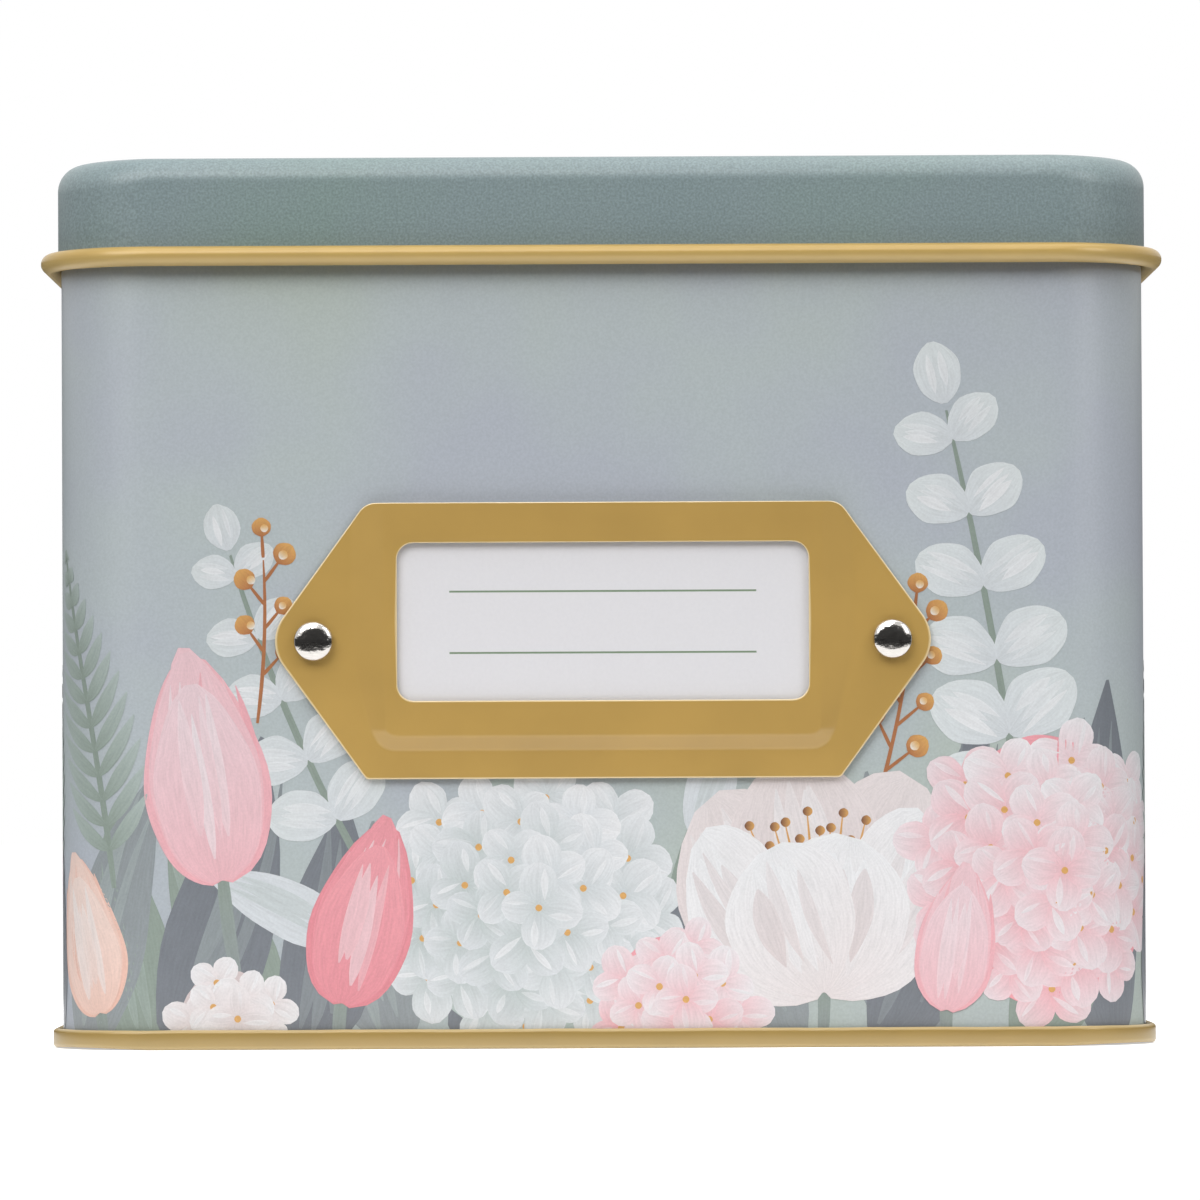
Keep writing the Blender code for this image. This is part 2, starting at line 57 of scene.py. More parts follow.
# %% The tin's sizes
MM = 0.001
TINPLATE, CLEARANCE = 0.25 * MM, 0.3 * MM
HALF_SHEET = TINPLATE / 2
BODY_WIDTH, BODY_DEPTH, TIN_HEIGHT, CORNER_RADIUS = 125 * MM, 63 * MM, 102 * MM, 11 * MM
HALF_FRONT, HALF_SIDE = BODY_WIDTH / 2 - CORNER_RADIUS, BODY_DEPTH / 2 - CORNER_RADIUS
FRONT_WALL_Y = -BODY_DEPTH / 2
NECK_START, NECK_RISE, NECK_INSET = 89.5 * MM, 1.2 * MM, 1.1 * MM
HEM_TOP, HEM_RADIUS, FLANGE_TIP = 101.2 * MM, 0.7 * MM, 0.7 * MM
CURL_HEIGHT, CURL_BEND, LID_WALL = 90.5 * MM, 1.0 * MM, 0.235 * MM
CURL_OUT = LID_WALL + CURL_BEND
HINGE_Y = BODY_DEPTH / 2 + CURL_OUT
TONGUE_PLACES, TONGUE_WIDTH, TONGUE_TAPER = (-33 * MM, 33 * MM), 8 * MM, 0.9 * MM
RIVET_PLACES, SIDES = (-33 * MM, 33 * MM), ("left", "right")
CUT_ROOM = 2 * MM
CORNER_STEPS = 28
print(f"hinge line at y {HINGE_Y:.6f}, z {CURL_HEIGHT:.6f}")

# %% [markdown]
# A grid of points is all that a curved surface needs. Rows and columns become quads, a wrapped direction
# joins its last line to its first, and a flat cap can close each end.

# %% From a grid of points to a mesh
CRISP = math.radians(40)


def joined(*parts):
    """Arrays side by side along a new last axis, once each is spread to the shape they share."""
    return np.stack(np.broadcast_arrays(*parts), -1)


def grid_faces(rows, columns, wrap_rows=False, wrap_columns=True):
    """Quads between grid lines: vertex number = row x columns + column, taken round where it wraps."""
    row = np.arange(rows if wrap_rows else rows - 1)[:, None]
    column = np.arange(columns if wrap_columns else columns - 1)[None, :]
    here, below, right = row * columns, (row + 1) % rows * columns, (column + 1) % columns
    return joined(here + column, here + right, below + right, below + column).reshape(-1, 4)


def shaded(mesh):
    """Smooth shading, with edges sharper than 40 degrees kept crisp."""
    mesh.shade_smooth()
    mesh.set_sharp_from_angle(angle=CRISP)
    return mesh


def linked(name, data):
    """A new object in the scene."""
    made = bpy.data.objects.new(name, data)
    bpy.context.scene.collection.objects.link(made)
    return made


def mesh_object(name, points, faces, caps=()):
    """An object from points and faces, with its normals turned outward."""
    mesh = bpy.data.meshes.new(name)
    mesh.from_pydata(points.reshape(-1, 3).tolist(), [], faces.tolist() + [cap.tolist() for cap in caps])
    shape = bmesh.new()
    shape.from_mesh(mesh)
    bmesh.ops.recalc_face_normals(shape, faces=shape.faces)
    shape.to_mesh(mesh)
    shape.free()
    return linked(name, shaded(mesh))


def closed_sweep(name, grid, capped=False):
    """A grid (sections x stations x 3) as a closed skin. The sections join up again or end in caps."""
    rows, columns = grid.shape[:2]
    first = np.arange(columns)
    caps = (first, first + (rows - 1) * columns) if capped else ()
    return mesh_object(name, grid, grid_faces(rows, columns, wrap_rows=not capped), caps)


def dress(piece, material, body, node=None):
    """Gives a piece its finish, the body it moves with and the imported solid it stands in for."""
    piece.data.materials.append(material)
    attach(piece, body)
    if node:
        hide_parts(node)
    return piece


def report(piece):
    """Prints a piece's triangles, a quad counting as two."""
    print(f"{piece.name}: {sum(len(face.vertices) - 2 for face in piece.data.polygons)} triangles")


# %% [markdown]
# Finishes share a few moves: a Principled shader with its plain numbers on its own sockets, patches of
# colour from a soft noise, and a bump from a fine one. Colours are given as a screen shows them.

# %% Helpers for finishes
def to_linear(screen):
    """Screen values as linear light: c/12.92 below 0.04045, else ((c + 0.055)/1.055) to the power 2.4."""
    return np.where(screen <= 0.04045, screen / 12.92, ((screen + 0.055) / 1.055) ** 2.4)


def light(red, green, blue):
    """A colour from its screen values, 0 to 255."""
    return (*to_linear(np.array((red, green, blue)) / 255).tolist(), 1.0)


def grey(value):
    """A grey from its linear value."""
    return (value, value, value, 1.0)


def darkened(colour, share):
    """A colour with its light reduced to a share."""
    return (*(share * c for c in colour[:3]), 1.0)


def finish(name, roughness, metallic=0.0, coat=0.0, coat_roughness=0.1, specular=0.5):
    """A Principled material with the numbers that are the same all over."""
    material = bpy.data.materials.new(name)
    material.use_nodes = True
    inputs = material.node_tree.nodes["Principled BSDF"].inputs
    inputs["Roughness"].default_value = roughness
    inputs["Metallic"].default_value = metallic
    inputs["Coat Weight"].default_value = coat
    inputs["Coat Roughness"].default_value = coat_roughness
    inputs["Specular IOR Level"].default_value = specular
    return material


def fill(owner, socket, value):
    """Links an output to a socket, or sets the socket to a number or a colour."""
    if isinstance(value, bpy.types.NodeSocket):
        owner.node_tree.links.new(value, socket)
    else:
        socket.default_value = value


def add(owner, kind, inputs=None, **settings):
    """Adds a node, sets its properties and fills its inputs."""
    node = owner.node_tree.nodes.new(kind)
    for key, value in settings.items():
        setattr(node, key, value)
    for key, value in (inputs or {}).items():
        fill(owner, node.inputs[key], value)
    return node


def feed(material, socket_name, output):
    """Links an output to the Principled shader."""
    fill(material, material.node_tree.nodes["Principled BSDF"].inputs[socket_name], output)


def worked(owner, operation, *terms):
    """The result of a Math node on one or two terms."""
    return add(owner, "ShaderNodeMath", dict(enumerate(terms)), operation=operation).outputs[0]


def place(material):
    """Where a point is on its piece, in metres."""
    return add(material, "ShaderNodeTexCoord").outputs["Object"]


def noise(material, where, scale, detail=2.0, roughness=0.5):
    """Soft noise; its blotches are about 1/scale metres across."""
    inputs = {"Vector": where, "Scale": scale, "Detail": detail, "Roughness": roughness}
    return add(material, "ShaderNodeTexNoise", inputs).outputs["Fac"]


def ramp(material, factor, *stops):
    """Colours along a factor; each stop is (position, colour)."""
    node = add(material, "ShaderNodeValToRGB", {"Fac": factor})
    elements = node.color_ramp.elements
    while len(elements) < len(stops):
        elements.new(0.5)
    for element, (position, colour) in zip(elements, stops):
        element.position = position
        element.color = colour
    return node.outputs["Color"]


def blend(material, factor, first, second, mode="MIX"):
    """A colour mix: factor 0 gives the first, 1 the second."""
    inputs = {0: factor, 6: first, 7: second}
    return add(material, "ShaderNodeMix", inputs, data_type="RGBA", blend_type=mode).outputs[2]


def bump(material, height, distance, strength=1.0, under=None):
    """Tilts the normal by a height, `distance` metres from black to white."""
    inputs = {"Height": height, "Distance": distance, "Strength": strength}
    if under is not None:
        inputs["Normal"] = under
    return add(material, "ShaderNodeBump", inputs).outputs["Normal"]


# %% [markdown]
# The wrapper's print is a pale sage that drifts between blue-grey and green-grey over centimetres, under
# the fine grain that printing leaves. The drift is what makes printed tin look printed.

# %% Printed enamels
def grained(material, where, colour, depth, under=None):
    """Multiplies a colour by printing grain, and gives the grain a slight bump."""
    grain = noise(material, where, 3800, detail=1.0)
    shade = ramp(material, grain, (0.3, grey(1 - depth)), (0.7, grey(1.0)))
    feed(material, "Base Color", blend(material, 1.0, colour, shade, "MULTIPLY"))
    feed(material, "Normal", bump(material, grain, 0.000006, 0.5, under))


def printed_enamel(name, tones, grain_depth, roughness, coat):
    """Enamel whose colour drifts between tones, with grain over it."""
    material = finish(name, roughness, coat=coat, coat_roughness=0.18)
    where = place(material)
    drift = noise(material, where, 21, detail=3.0, roughness=0.55)
    stops = [(0.36 + 0.28 * i / (len(tones) - 1), light(*tone)) for i, tone in enumerate(tones)]
    broad = bump(material, noise(material, where, 60, detail=1.0), 0.00004)
    grained(material, where, ramp(material, drift, *stops), grain_depth, broad)
    return material


BODY_TONES = ((169, 175, 184), (172, 181, 183), (172, 182, 177))
LID_TONES = ((129, 147, 150), (133, 150, 152), (131, 151, 148))
sage_enamel = printed_enamel("printed_sage", BODY_TONES, 0.09, 0.38, 0.15)
lid_enamel = printed_enamel("printed_lid", LID_TONES, 0.29, 0.44, 0.1)
print("finishes:", sage_enamel.name, lid_enamel.name)

# %% [markdown]
# The rim, the seam and the holder carry a warm gold lacquer with gloss on top. Where the sheet bends
# sharply, handling thins the lacquer and the edge turns pale; the same pale tone is also a painted highlight
# on the holder's edges and a painted reflection of the white table under the rim's curl and the seam's foot,
# so the material reads an `edge` attribute.

# %% Gold lacquer, bright metal and paper
def gold_lacquer(name, colour, pale, roughness, coat):
    """Gold lacquer with a faint drift, orange-peel bump, and the pale tone where `edge` is high: worn
    lacquer, painted highlight and painted reflection.
    """
    material = finish(name, roughness, metallic=0.1, coat=coat, coat_roughness=0.12)
    where = place(material)
    drift = noise(material, where, 90, detail=3.0)
    body = ramp(material, drift, (0.3, darkened(colour, 0.9)), (0.7, colour))
    wear_and_sheen = add(material, "ShaderNodeAttribute", attribute_name="edge").outputs["Fac"]
    feed(material, "Base Color", blend(material, wear_and_sheen, body, pale))
    feed(material, "Normal", bump(material, noise(material, where, 1400), 0.000012, 0.35))
    return material


def bright_metal(name, colour, roughness, scratch_scale):
    """Plated metal, shallowly uneven, with hairline scratches that vary its gloss."""
    material = finish(name, roughness, metallic=1.0)
    where = place(material)
    uneven = noise(material, where, 1.6 * scratch_scale)
    stretched = add(material, "ShaderNodeMapping", {"Vector": where, "Scale": (1.0, 0.2, 6.0)})
    scratch = noise(material, stretched.outputs["Vector"], scratch_scale, detail=4.0)
    feed(material, "Base Color", ramp(material, scratch, (0.3, darkened(colour, 0.86)), (0.7, colour)))
    smooth, rough = grey(roughness * 0.7), grey(roughness * 1.8)
    feed(material, "Roughness", ramp(material, scratch, (0.3, smooth), (0.75, rough)))
    dented = bump(material, uneven, 0.00006, 0.8)
    feed(material, "Normal", bump(material, scratch, 0.00001, 0.4, dented))
    return material


def paper(name, colour, ruled=None, offset=0.0, half_width=1.0, spacing=3.5 * MM, thickness=0.11 * MM):
    """Mottled card with thin ruled lines where `ruled` gives a colour: a line shows where height, counted
    in spacings, is nearest a whole number, and as far as `half_width` to each side."""
    material = finish(name, 0.72, specular=0.3)
    where = place(material)
    fibre = noise(material, where, 2600, detail=4.0, roughness=0.6)
    sheet = ramp(material, fibre, (0.3, darkened(colour, 0.975)), (0.65, colour))
    if ruled:
        axes = add(material, "ShaderNodeSeparateXYZ", {"Vector": where}).outputs
        near = worked(material, "PINGPONG", worked(material, "SUBTRACT", axes["Z"], offset), spacing)
        line = worked(material, "LESS_THAN", near, thickness)
        inside = worked(material, "LESS_THAN", worked(material, "ABSOLUTE", axes["X"]), half_width)
        sheet = blend(material, worked(material, "MULTIPLY", line, inside), sheet, ruled)
    feed(material, "Base Color", sheet)
    feed(material, "Normal", bump(material, fibre, 0.000012, 0.4))
    return material


# The second colour of each lacquer is its pale tone: wear, and also painted highlight and painted reflection
# where `edge` marks it.
gold_enamel = gold_lacquer("rim_lacquer", light(184, 152, 80), light(232, 204, 142), 0.40, 0.25)
seam_enamel = gold_lacquer("seam_lacquer", light(157, 130, 69), light(226, 205, 158), 0.4, 0.25)
holder_enamel = gold_lacquer("holder_lacquer", light(187, 152, 82), light(238, 220, 178), 0.36, 0.4)
nickel = bright_metal("plated_nickel", light(208, 204, 199), 0.09, 900)
bright_wire = bright_metal("drawn_wire", light(206, 205, 202), 0.24, 1500)
RULED_OFFSET, RULED_HALF_WIDTH = 45.1 * MM, 17.5 * MM
label_paper = paper("label_slip", light(215, 214, 217), light(118, 138, 112), RULED_OFFSET, RULED_HALF_WIDTH)
card_stock = paper("index_card", light(232, 226, 214), light(176, 186, 176))
divider_stock = paper("divider_card", light(166, 178, 168))
print("finishes:", gold_enamel.name, nickel.name, label_paper.name)

# %% [markdown]
# A drawn or rolled sheet is easiest to understand from its section, a path down the middle of the sheet.
# Both faces follow at half the thickness, and the loop is carried round the tin's rounded rectangle.

# %% Sections of sheet metal
def arc(centre, radius, start, end, steps):
    """Points on a circle: centre + radius (cos a, sin a), while a runs from start to end in degrees."""
    a = np.radians(np.linspace(start, end, steps + 1))
    return np.column_stack((centre[0] + radius * np.cos(a), centre[1] + radius * np.sin(a)))


def soft_step(start, end, steps):
    """An S-shaped run: height grows evenly with t, and the distance out by t t (3 - 2 t)."""
    t = np.linspace(0, 1, steps + 1)
    eased = t * t * (3 - 2 * t)
    return np.column_stack((start[0] + (end[0] - start[0]) * eased, start[1] + (end[1] - start[1]) * t))


def sheet_loop(path):
    """Both faces of a sheet as one loop: each point moves half a thickness along the normal, divided by
    the cosine of half the bend there, so that the wall keeps its thickness round a bend."""
    step = np.diff(path, axis=0)
    step /= np.linalg.norm(step, axis=1, keepdims=True)
    before, after = np.vstack((step[:1], step)), np.vstack((step, step[-1:]))
    along = before + after
    along /= np.linalg.norm(along, axis=1, keepdims=True)
    normal = np.column_stack((-along[:, 1], along[:, 0]))
    cosine = normal[:, 0] * -before[:, 1] + normal[:, 1] * before[:, 0]
    shift = normal * (HALF_SHEET / np.maximum(cosine, 0.5))[:, None]
    return np.vstack((path + shift, (path - shift)[::-1]))


def stations(side_steps=1):
    """Places round the tin, counter-clockwise from the right side's back end: (x, y) on the line of the
    corners' centres, and the direction that is out there. On a corner the centre stays and the direction
    turns; on a side the direction stays and the centre moves along."""
    centres, directions = [], []
    corners = np.array(((1, 1), (-1, 1), (-1, -1), (1, -1))) * (HALF_FRONT, HALF_SIDE)
    share = np.linspace(0, 1, side_steps + 1)[1:-1, None]
    for turn, start in enumerate(corners):
        a = np.radians(90 * turn + np.linspace(0, 90, CORNER_STEPS + 1))
        direction = np.column_stack((np.cos(a), np.sin(a)))
        centres += [np.repeat(start[None], len(a), 0), start + (corners[(turn + 1) % 4] - start) * share]
        directions += [direction, np.repeat(direction[-1:], len(share), 0)]
    return np.vstack(centres), np.vstack(directions)


def carried_round(out, up, side_steps=1):
    """A section carried round the tin: point = centre + (corner radius + out) x direction, at height up.
    Each row of out and up is a point of the section, with one value or a value for every station."""
    centre, direction = stations(side_steps)
    out, up = (np.broadcast_to(np.reshape(a, (len(a), -1)), (len(a), len(centre))) for a in (out, up))
    xy = centre[None] + (CORNER_RADIUS + out)[..., None] * direction[None]
    return np.concatenate((xy, up[..., None]), -1)


def corner_share(side_steps=1):
    """How far into a corner each station is: 2 |x y| of its direction, 0 on a side and 1 in mid-corner."""
    direction = stations(side_steps)[1]
    return 2 * np.abs(direction[:, 0] * direction[:, 1])


def tongue_blocks(prefix, half_width, y, z):
    """A cutting block at each hinge tongue, between two values of y and of z."""
    unit = np.array([(i, j, k) for i in (0, 1) for j in (0, 1) for k in (0, 1)], float)
    faces = np.array(((0, 1, 3, 2), (4, 6, 7, 5), (0, 4, 5, 1), (2, 3, 7, 6), (0, 2, 6, 4), (1, 5, 7, 3)))
    blocks = []
    for i, middle in enumerate(TONGUE_PLACES):
        low = np.array((middle - half_width, y[0], z[0]))
        high = np.array((middle + half_width, y[1], z[1]))
        blocks.append(mesh_object(f"{prefix}_{i}", low + unit * (high - low), faces))
    return blocks


def cut(piece, blocks):
    """Cuts blocks out with exact Booleans, applied at once."""
    for block in blocks:
        step = piece.modifiers.new(block.name, "BOOLEAN")
        step.operation = "DIFFERENCE"
        step.solver = "EXACT"
        step.object = block
    graph = bpy.context.evaluated_depsgraph_get()
    mesh = bpy.data.meshes.new_from_object(piece.evaluated_get(graph))
    piece.modifiers.clear()
    piece.data = shaded(mesh)
    for block in blocks:
        bpy.data.objects.remove(block)
    return piece


def set_wear_and_sheen(piece, values):
    """How much of the lacquer's pale tone each point gets, from 0 to 1; it stands for wear, painted
    highlight and painted reflection of the table.
    """
    piece.data.attributes.new("edge", "FLOAT", "POINT").data.foreach_set("value", values)


# %% [markdown]
# The wrapper is a strip of printed tinplate, bent round four corners and locked in a fold at the back. Its
# foot turns out into the base's seam, and its top steps in to a neck and ends in a hem rolled inwards.

# %% The wrapper
SLOT_HALF, SLOT_HEIGHT = 4.3 * MM, 5.6 * MM
slot_foot = CURL_HEIGHT + CURL_BEND


def wrapper_section():
    """Flange, bend, wall, stepped neck and rolled hem, as one path."""
    flange_up = TINPLATE + CLEARANCE + HALF_SHEET
    neck_line = -NECK_INSET - HALF_SHEET
    hem_centre = (-NECK_INSET - HEM_RADIUS, HEM_TOP - HEM_RADIUS)
    parts = (
        np.array([(FLANGE_TIP, flange_up)]),
        arc((TINPLATE - HALF_SHEET, flange_up + TINPLATE), TINPLATE, 270, 180, 6),
        soft_step((-HALF_SHEET, NECK_START), (neck_line, NECK_START + NECK_RISE), 12),
        arc(hem_centre, HEM_RADIUS - HALF_SHEET, 0, 285, 30),
    )
    return np.vstack(parts)


body = closed_sweep("tin_body", carried_round(*sheet_loop(wrapper_section()).T))
neck_y = BODY_DEPTH / 2 - NECK_INSET
slot_y, slot_z = (neck_y - CUT_ROOM, neck_y + CUT_ROOM), (slot_foot, slot_foot + SLOT_HEIGHT)
body = cut(body, tongue_blocks("slot", SLOT_HALF, slot_y, slot_z))

# %% [markdown]
# Two tongues, lanced from the neck, bend over the hinge wire and curl down round it. The fold that locks
# the wrapper's two edges together runs down the inside of the back wall, between them.

# %% Hinge tongues and the lock seam
def tongue(name, middle):
    """A strip whose section is a short root and an arc of 200 degrees round the wire. Its half width
    shrinks with the square of the way past four fifths of its length."""
    root = np.array([(HINGE_Y - CURL_OUT - NECK_INSET - TINPLATE, slot_foot)])
    loop = sheet_loop(np.vstack((root, arc((HINGE_Y, CURL_HEIGHT), CURL_BEND, 90, -110, 32))))
    one_way = np.linspace(0, 1, len(loop) // 2)
    depth = np.concatenate((one_way, one_way[::-1]))
    half = TONGUE_WIDTH / 2 - TONGUE_TAPER * np.clip((depth - 0.8) / 0.2, 0, 1) ** 2
    x = middle + np.array((-1.0, 1.0))[:, None] * half
    return closed_sweep(name, joined(x, loop[:, 0], loop[:, 1]), capped=True)


def lock_seam(half_width=2 * MM, sink=0.05 * MM, fold=0.35 * MM, foot=3.3 * MM):
    """A flattened fold along the back wall: x = w cos a, and its depth goes with sin(a) to 0.35."""
    a = np.linspace(0, np.pi, 13)
    y = BODY_DEPTH / 2 - TINPLATE + sink - fold * np.sin(a) ** 0.35
    z = np.array((foot, NECK_START))[:, None]
    return closed_sweep("lock_seam", joined(half_width * np.cos(a), y, z), capped=True)


tongues = [tongue(f"tongue_{side}", x) for side, x in zip(SIDES, TONGUE_PLACES)]
for piece in (body, *tongues, lock_seam()):
    report(dress(piece, sage_enamel, "tin", "body_shell"))

# %% [markdown]
# The print on the wrapper is a loose painted garden. Each brush mark has its own edge and its own place in
# the order of painting, so each is a thin closed patch of ink lying on the wall.

# %% Where a mark lies on the wall
QUARTER = math.pi / 2 * CORNER_RADIUS
ROUND_STOPS = np.cumsum((0, HALF_FRONT, QUARTER, 2 * HALF_SIDE, QUARTER, HALF_FRONT))


def on_the_wall(along, up, out):
    """A place `along` metres round the wall from the middle of the front towards +X. The centre's x and y
    and the angle of the outward direction are straight-line functions of the distance along, so a point
    is centre + (radius + out) x (cos angle, sin angle), mirrored for a negative one."""
    distance = np.abs(along)
    x = np.interp(distance, ROUND_STOPS, (0, HALF_FRONT, HALF_FRONT, HALF_FRONT, HALF_FRONT, 0))
    y = np.interp(distance, ROUND_STOPS, HALF_SIDE * np.array((-1, -1, -1, 1, 1, 1)))
    angle = np.interp(distance, ROUND_STOPS, np.pi / 2 * np.array((-1, -1, 0, 0, 1, 1)))
    x = np.sign(along) * (x + (CORNER_RADIUS + out) * np.cos(angle))
    return joined(x, y + (CORNER_RADIUS + out) * np.sin(angle), up)


print(f"the wall is {2 * ROUND_STOPS[-1]:.4f} round")

# %% [markdown]
# A brush mark starts thin, swells and ends. A low `blunt` gives a round petal, a high one a pointed leaf,
# and the middle line bends sideways with t squared. A mark is a row of numbers, in millimetres and
# degrees, and all marks are worked out at once.

# %% Brush marks
LENGTH, WIDTH, BLUNT, HEIGHT = 3, 4, 7, 8
ROOT, TIP = slice(9, 12), slice(12, 15)
dice = np.random.default_rng(7)


def moved(along, up, angle, ahead, side=0.0):
    """The place reached by going ahead in a direction, in degrees, and then to its left."""
    turn = np.radians(angle)
    x = along + ahead * np.cos(turn) - side * np.sin(turn)
    return x, up + ahead * np.sin(turn) + side * np.cos(turn)


def marks(along, up, angle, length, width, bend, belly, blunt, order, root, tip):
    """Rows of eight numbers for the shape, one for the order of painting that becomes its height, and the
    colours at root and tip. Any of them may be an array."""
    numbers = np.broadcast_arrays(along, up, angle, length, width, bend, belly, blunt, order)
    numbers = np.stack([np.asarray(n, float).ravel() for n in numbers], 1)
    colours = (np.broadcast_to(np.asarray(c, float), (len(numbers), 3)) for c in (root, tip))
    return np.hstack((numbers, *colours))


def strokes_over(base, count, tone, strength, raised=0.0):
    """Narrow marks over wide ones, `count` on each, in its own colour moved towards a tone: they follow
    the mark's bend and start a little way up it."""
    rows = np.repeat(base, count, 0)
    side = np.tile(np.linspace(-0.5, 0.5, count), len(base)) + dice.uniform(-0.08, 0.08, len(rows))
    start = dice.uniform(0.08, 0.3, len(rows))
    ahead, aside = rows[:, LENGTH] * start, rows[:, WIDTH] * side * 0.55
    rows[:, :2] = np.column_stack(moved(*rows[:, :3].T, ahead, aside))
    rows[:, LENGTH] *= 1 - start - dice.uniform(0.06, 0.22, len(rows))
    rows[:, WIDTH] *= dice.uniform(0.1, 0.22, len(rows))
    rows[:, BLUNT] = 0.8
    rows[:, HEIGHT] += 0.0008 + 0.0005 * np.tile(np.arange(count), len(base)) + raised
    toward = dice.uniform(0.4, 1.0, (len(rows), 1)) * strength
    for colour in (ROOT, TIP):
        rows[:, colour] += (np.asarray(tone, float) - rows[:, colour]) * toward
    return rows


def mark_shapes(rows, steps):
    """Places (marks x along x across) of all marks in metres, with t along and c from -1 to 1 across:
    ahead = length t, side = bend length t t + width w c, where w = sin(pi t^belly)^blunt, then turned.
    What would hang below 2 mm is drawn in behind the base's seam."""
    t = np.linspace(0.012, 0.988, steps[0] + 1)[None, :, None]
    c = np.linspace(-1, 1, steps[1] + 1)[None, None, :]
    along, up, angle, length, width, bend, belly, blunt, height = (rows[:, i, None, None] for i in range(9))
    swell = np.sin(np.pi * t**belly) ** blunt
    waver = 1 + 0.045 * np.sin(9 * t + 3 * along) * np.sin(5 * t + 2 * up)
    ahead = length * t
    side = bend * length * t * t + width * swell * waver * c
    s, z = moved(along, up, angle, ahead, side)
    low = 2.0
    z = np.where(z < low, low - 1.1 * (1 - np.exp(-(low - z) / 6)), z)
    brush = joined(width * c * 1.6 + 37 * along, ahead * 0.16 + 11 * up)
    return s * MM, z * MM, (0.02 + height + 0 * s) * MM, t, c, brush


INK_MAP = np.zeros((800, 240))
MAP_MIDDLE, MAP_FOOT = 400, 10
FLAT_LAYER, BENT_LAYER = 0.0004, 0.0012
NEAR = np.array([(i, j) for i in (-1, 0, 1) for j in (-1, 0, 1)])


def reaches_corner(s):
    """True for each mark of which some point lies on one of the wall's rounded corners."""
    s = np.abs(s).reshape(len(s), -1)
    corners = (ROUND_STOPS[1:3], ROUND_STOPS[3:5])
    return np.any([(s.max(1) > start) & (s.min(1) < end) for start, end in corners], axis=0)


def paint(*plants):
    """Lays the marks on the wall in the order of painting. A map in squares of half a millimetre keeps the
    height of the ink; each mark lies one layer above the highest square it touches, because two marks at
    one height would show through each other. A layer is thicker where the wall is bent."""
    laid = []
    for plant in plants:
        rows = plant[np.argsort(plant[:, HEIGHT], kind="stable")]
        s, z = mark_shapes(rows, (40, 10))[:2]
        layers = np.where(reaches_corner(s), BENT_LAYER, FLAT_LAYER)
        columns, lines = (
            np.clip(np.rint(square).astype(int), 1, count - 2).reshape(len(rows), -1)
            for square, count in zip((2 * s / MM + MAP_MIDDLE, 2 * z / MM + MAP_FOOT), INK_MAP.shape)
        )
        for row, column, line, layer in zip(rows, columns, lines, layers):
            row[HEIGHT] = INK_MAP[column[:, None] + NEAR[:, 0], line[:, None] + NEAR[:, 1]].max() + layer
            INK_MAP[column, line] = row[HEIGHT]
        laid.append(rows)
    return np.vstack(laid)


IVORY, CLOUD, BLUSH, ROSE = (228, 229, 231), (205, 210, 214), (226, 203, 208), (229, 158, 166)
DEEP_ROSE, SLATE, PEWTER, MOSS = (214, 128, 138), (118, 123, 130), (142, 149, 152), (140, 153, 144)
MIST, OCHRE, RUST, BRICK = (172, 184, 181), (214, 165, 98), (170, 112, 74), (112, 74, 58)
print(f"a layer of ink is {FLAT_LAYER} mm thick, and {BENT_LAYER} mm on a corner")

# %% [markdown]
# Each kind of plant is a small recipe that returns rows of marks. Within a plant they are painted in the
# order of a small number that the recipe gives them, which `paint` then turns into a height.

# %% Leaves, sprigs and berries
ROUND = (0, 1.0, 0.5)


def leaf(along, up, angle, length, width, bend, tone):
    """One pointed leaf with three lighter strokes along it."""
    blade = marks(along, up, angle, length, width, bend, 0.75, 0.95, 0, tone, tone)
    return np.vstack((blade, strokes_over(blade, 3, MIST, 0.45)))


def stem_line(along, up, angle, length, width, bend, tone, tip, order=0):
    """Thin marks of nearly even width."""
    return marks(along, up, angle, length, width, bend, 0.5, 0.25, order, tone, tip)


def points_up(along, up, angle, length, bend, share):
    """Places on a stem's line, `share` of the way up it, and the line's direction there in degrees."""
    x, z = moved(along, up, angle, length * share, bend * length * share**2)
    return x, z, angle + np.degrees(np.arctan(2 * bend * share))


def coin_sprig(along, up, angle, length, bend, size, tone, tip_tone, pairs=6):
    """Pairs of round leaves on a stem, smaller towards its tip, with one leaf at the end."""
    share = np.linspace(0.22, 0.93, pairs)
    x, z, direction = points_up(along, up, angle, length, bend, share)
    grown = size * (1.12 - 0.5 * share)
    rows = [stem_line(along, up, angle, length, 0.42, bend, MOSS, MOSS)]
    order = 0.002 + 0.0048 * np.arange(pairs)
    for side in (-1, 1):
        turn = direction + side * dice.uniform(48, 66, pairs)
        later = order + 0.0012 * (1 + side)
        coins = marks(x, z, turn, grown, grown * 0.38, 0.08 * side, 1.1, 0.55, later, tone, tip_tone)
        rows += [coins, strokes_over(coins, 3, IVORY, 0.8)]
    x, z, direction = points_up(along, up, angle, length, bend, np.array([1.0]))
    end = marks(x, z, direction, size * 0.7, size * 0.26, 0, 1.0, 0.6, order[-1] + 0.0055, tone, tip_tone)
    return np.vstack((*rows, end, strokes_over(end, 2, IVORY, 0.8)))


def fern(along, up, angle, length, bend, size, tone, pairs=13):
    """Narrow leaflets in pairs, longest a third of the way up."""
    share = np.linspace(0.12, 0.98, pairs)
    x, z, direction = points_up(along, up, angle, length, bend, share)
    grown = size * np.sin(np.pi * (0.15 + 0.83 * share) ** 0.7)
    rows = [stem_line(along, up, angle, length, 0.4, bend, tone, tone)]
    for side in (-1, 1):
        later = 0.004 + 0.0016 * side + 0.0004 * (np.arange(pairs) % 4)
        turn = direction + side * 52
        rows.append(marks(x, z, turn, grown, 0.9, -0.15 * side, 0.8, 0.8, later, tone, MIST))
    return np.vstack(rows)


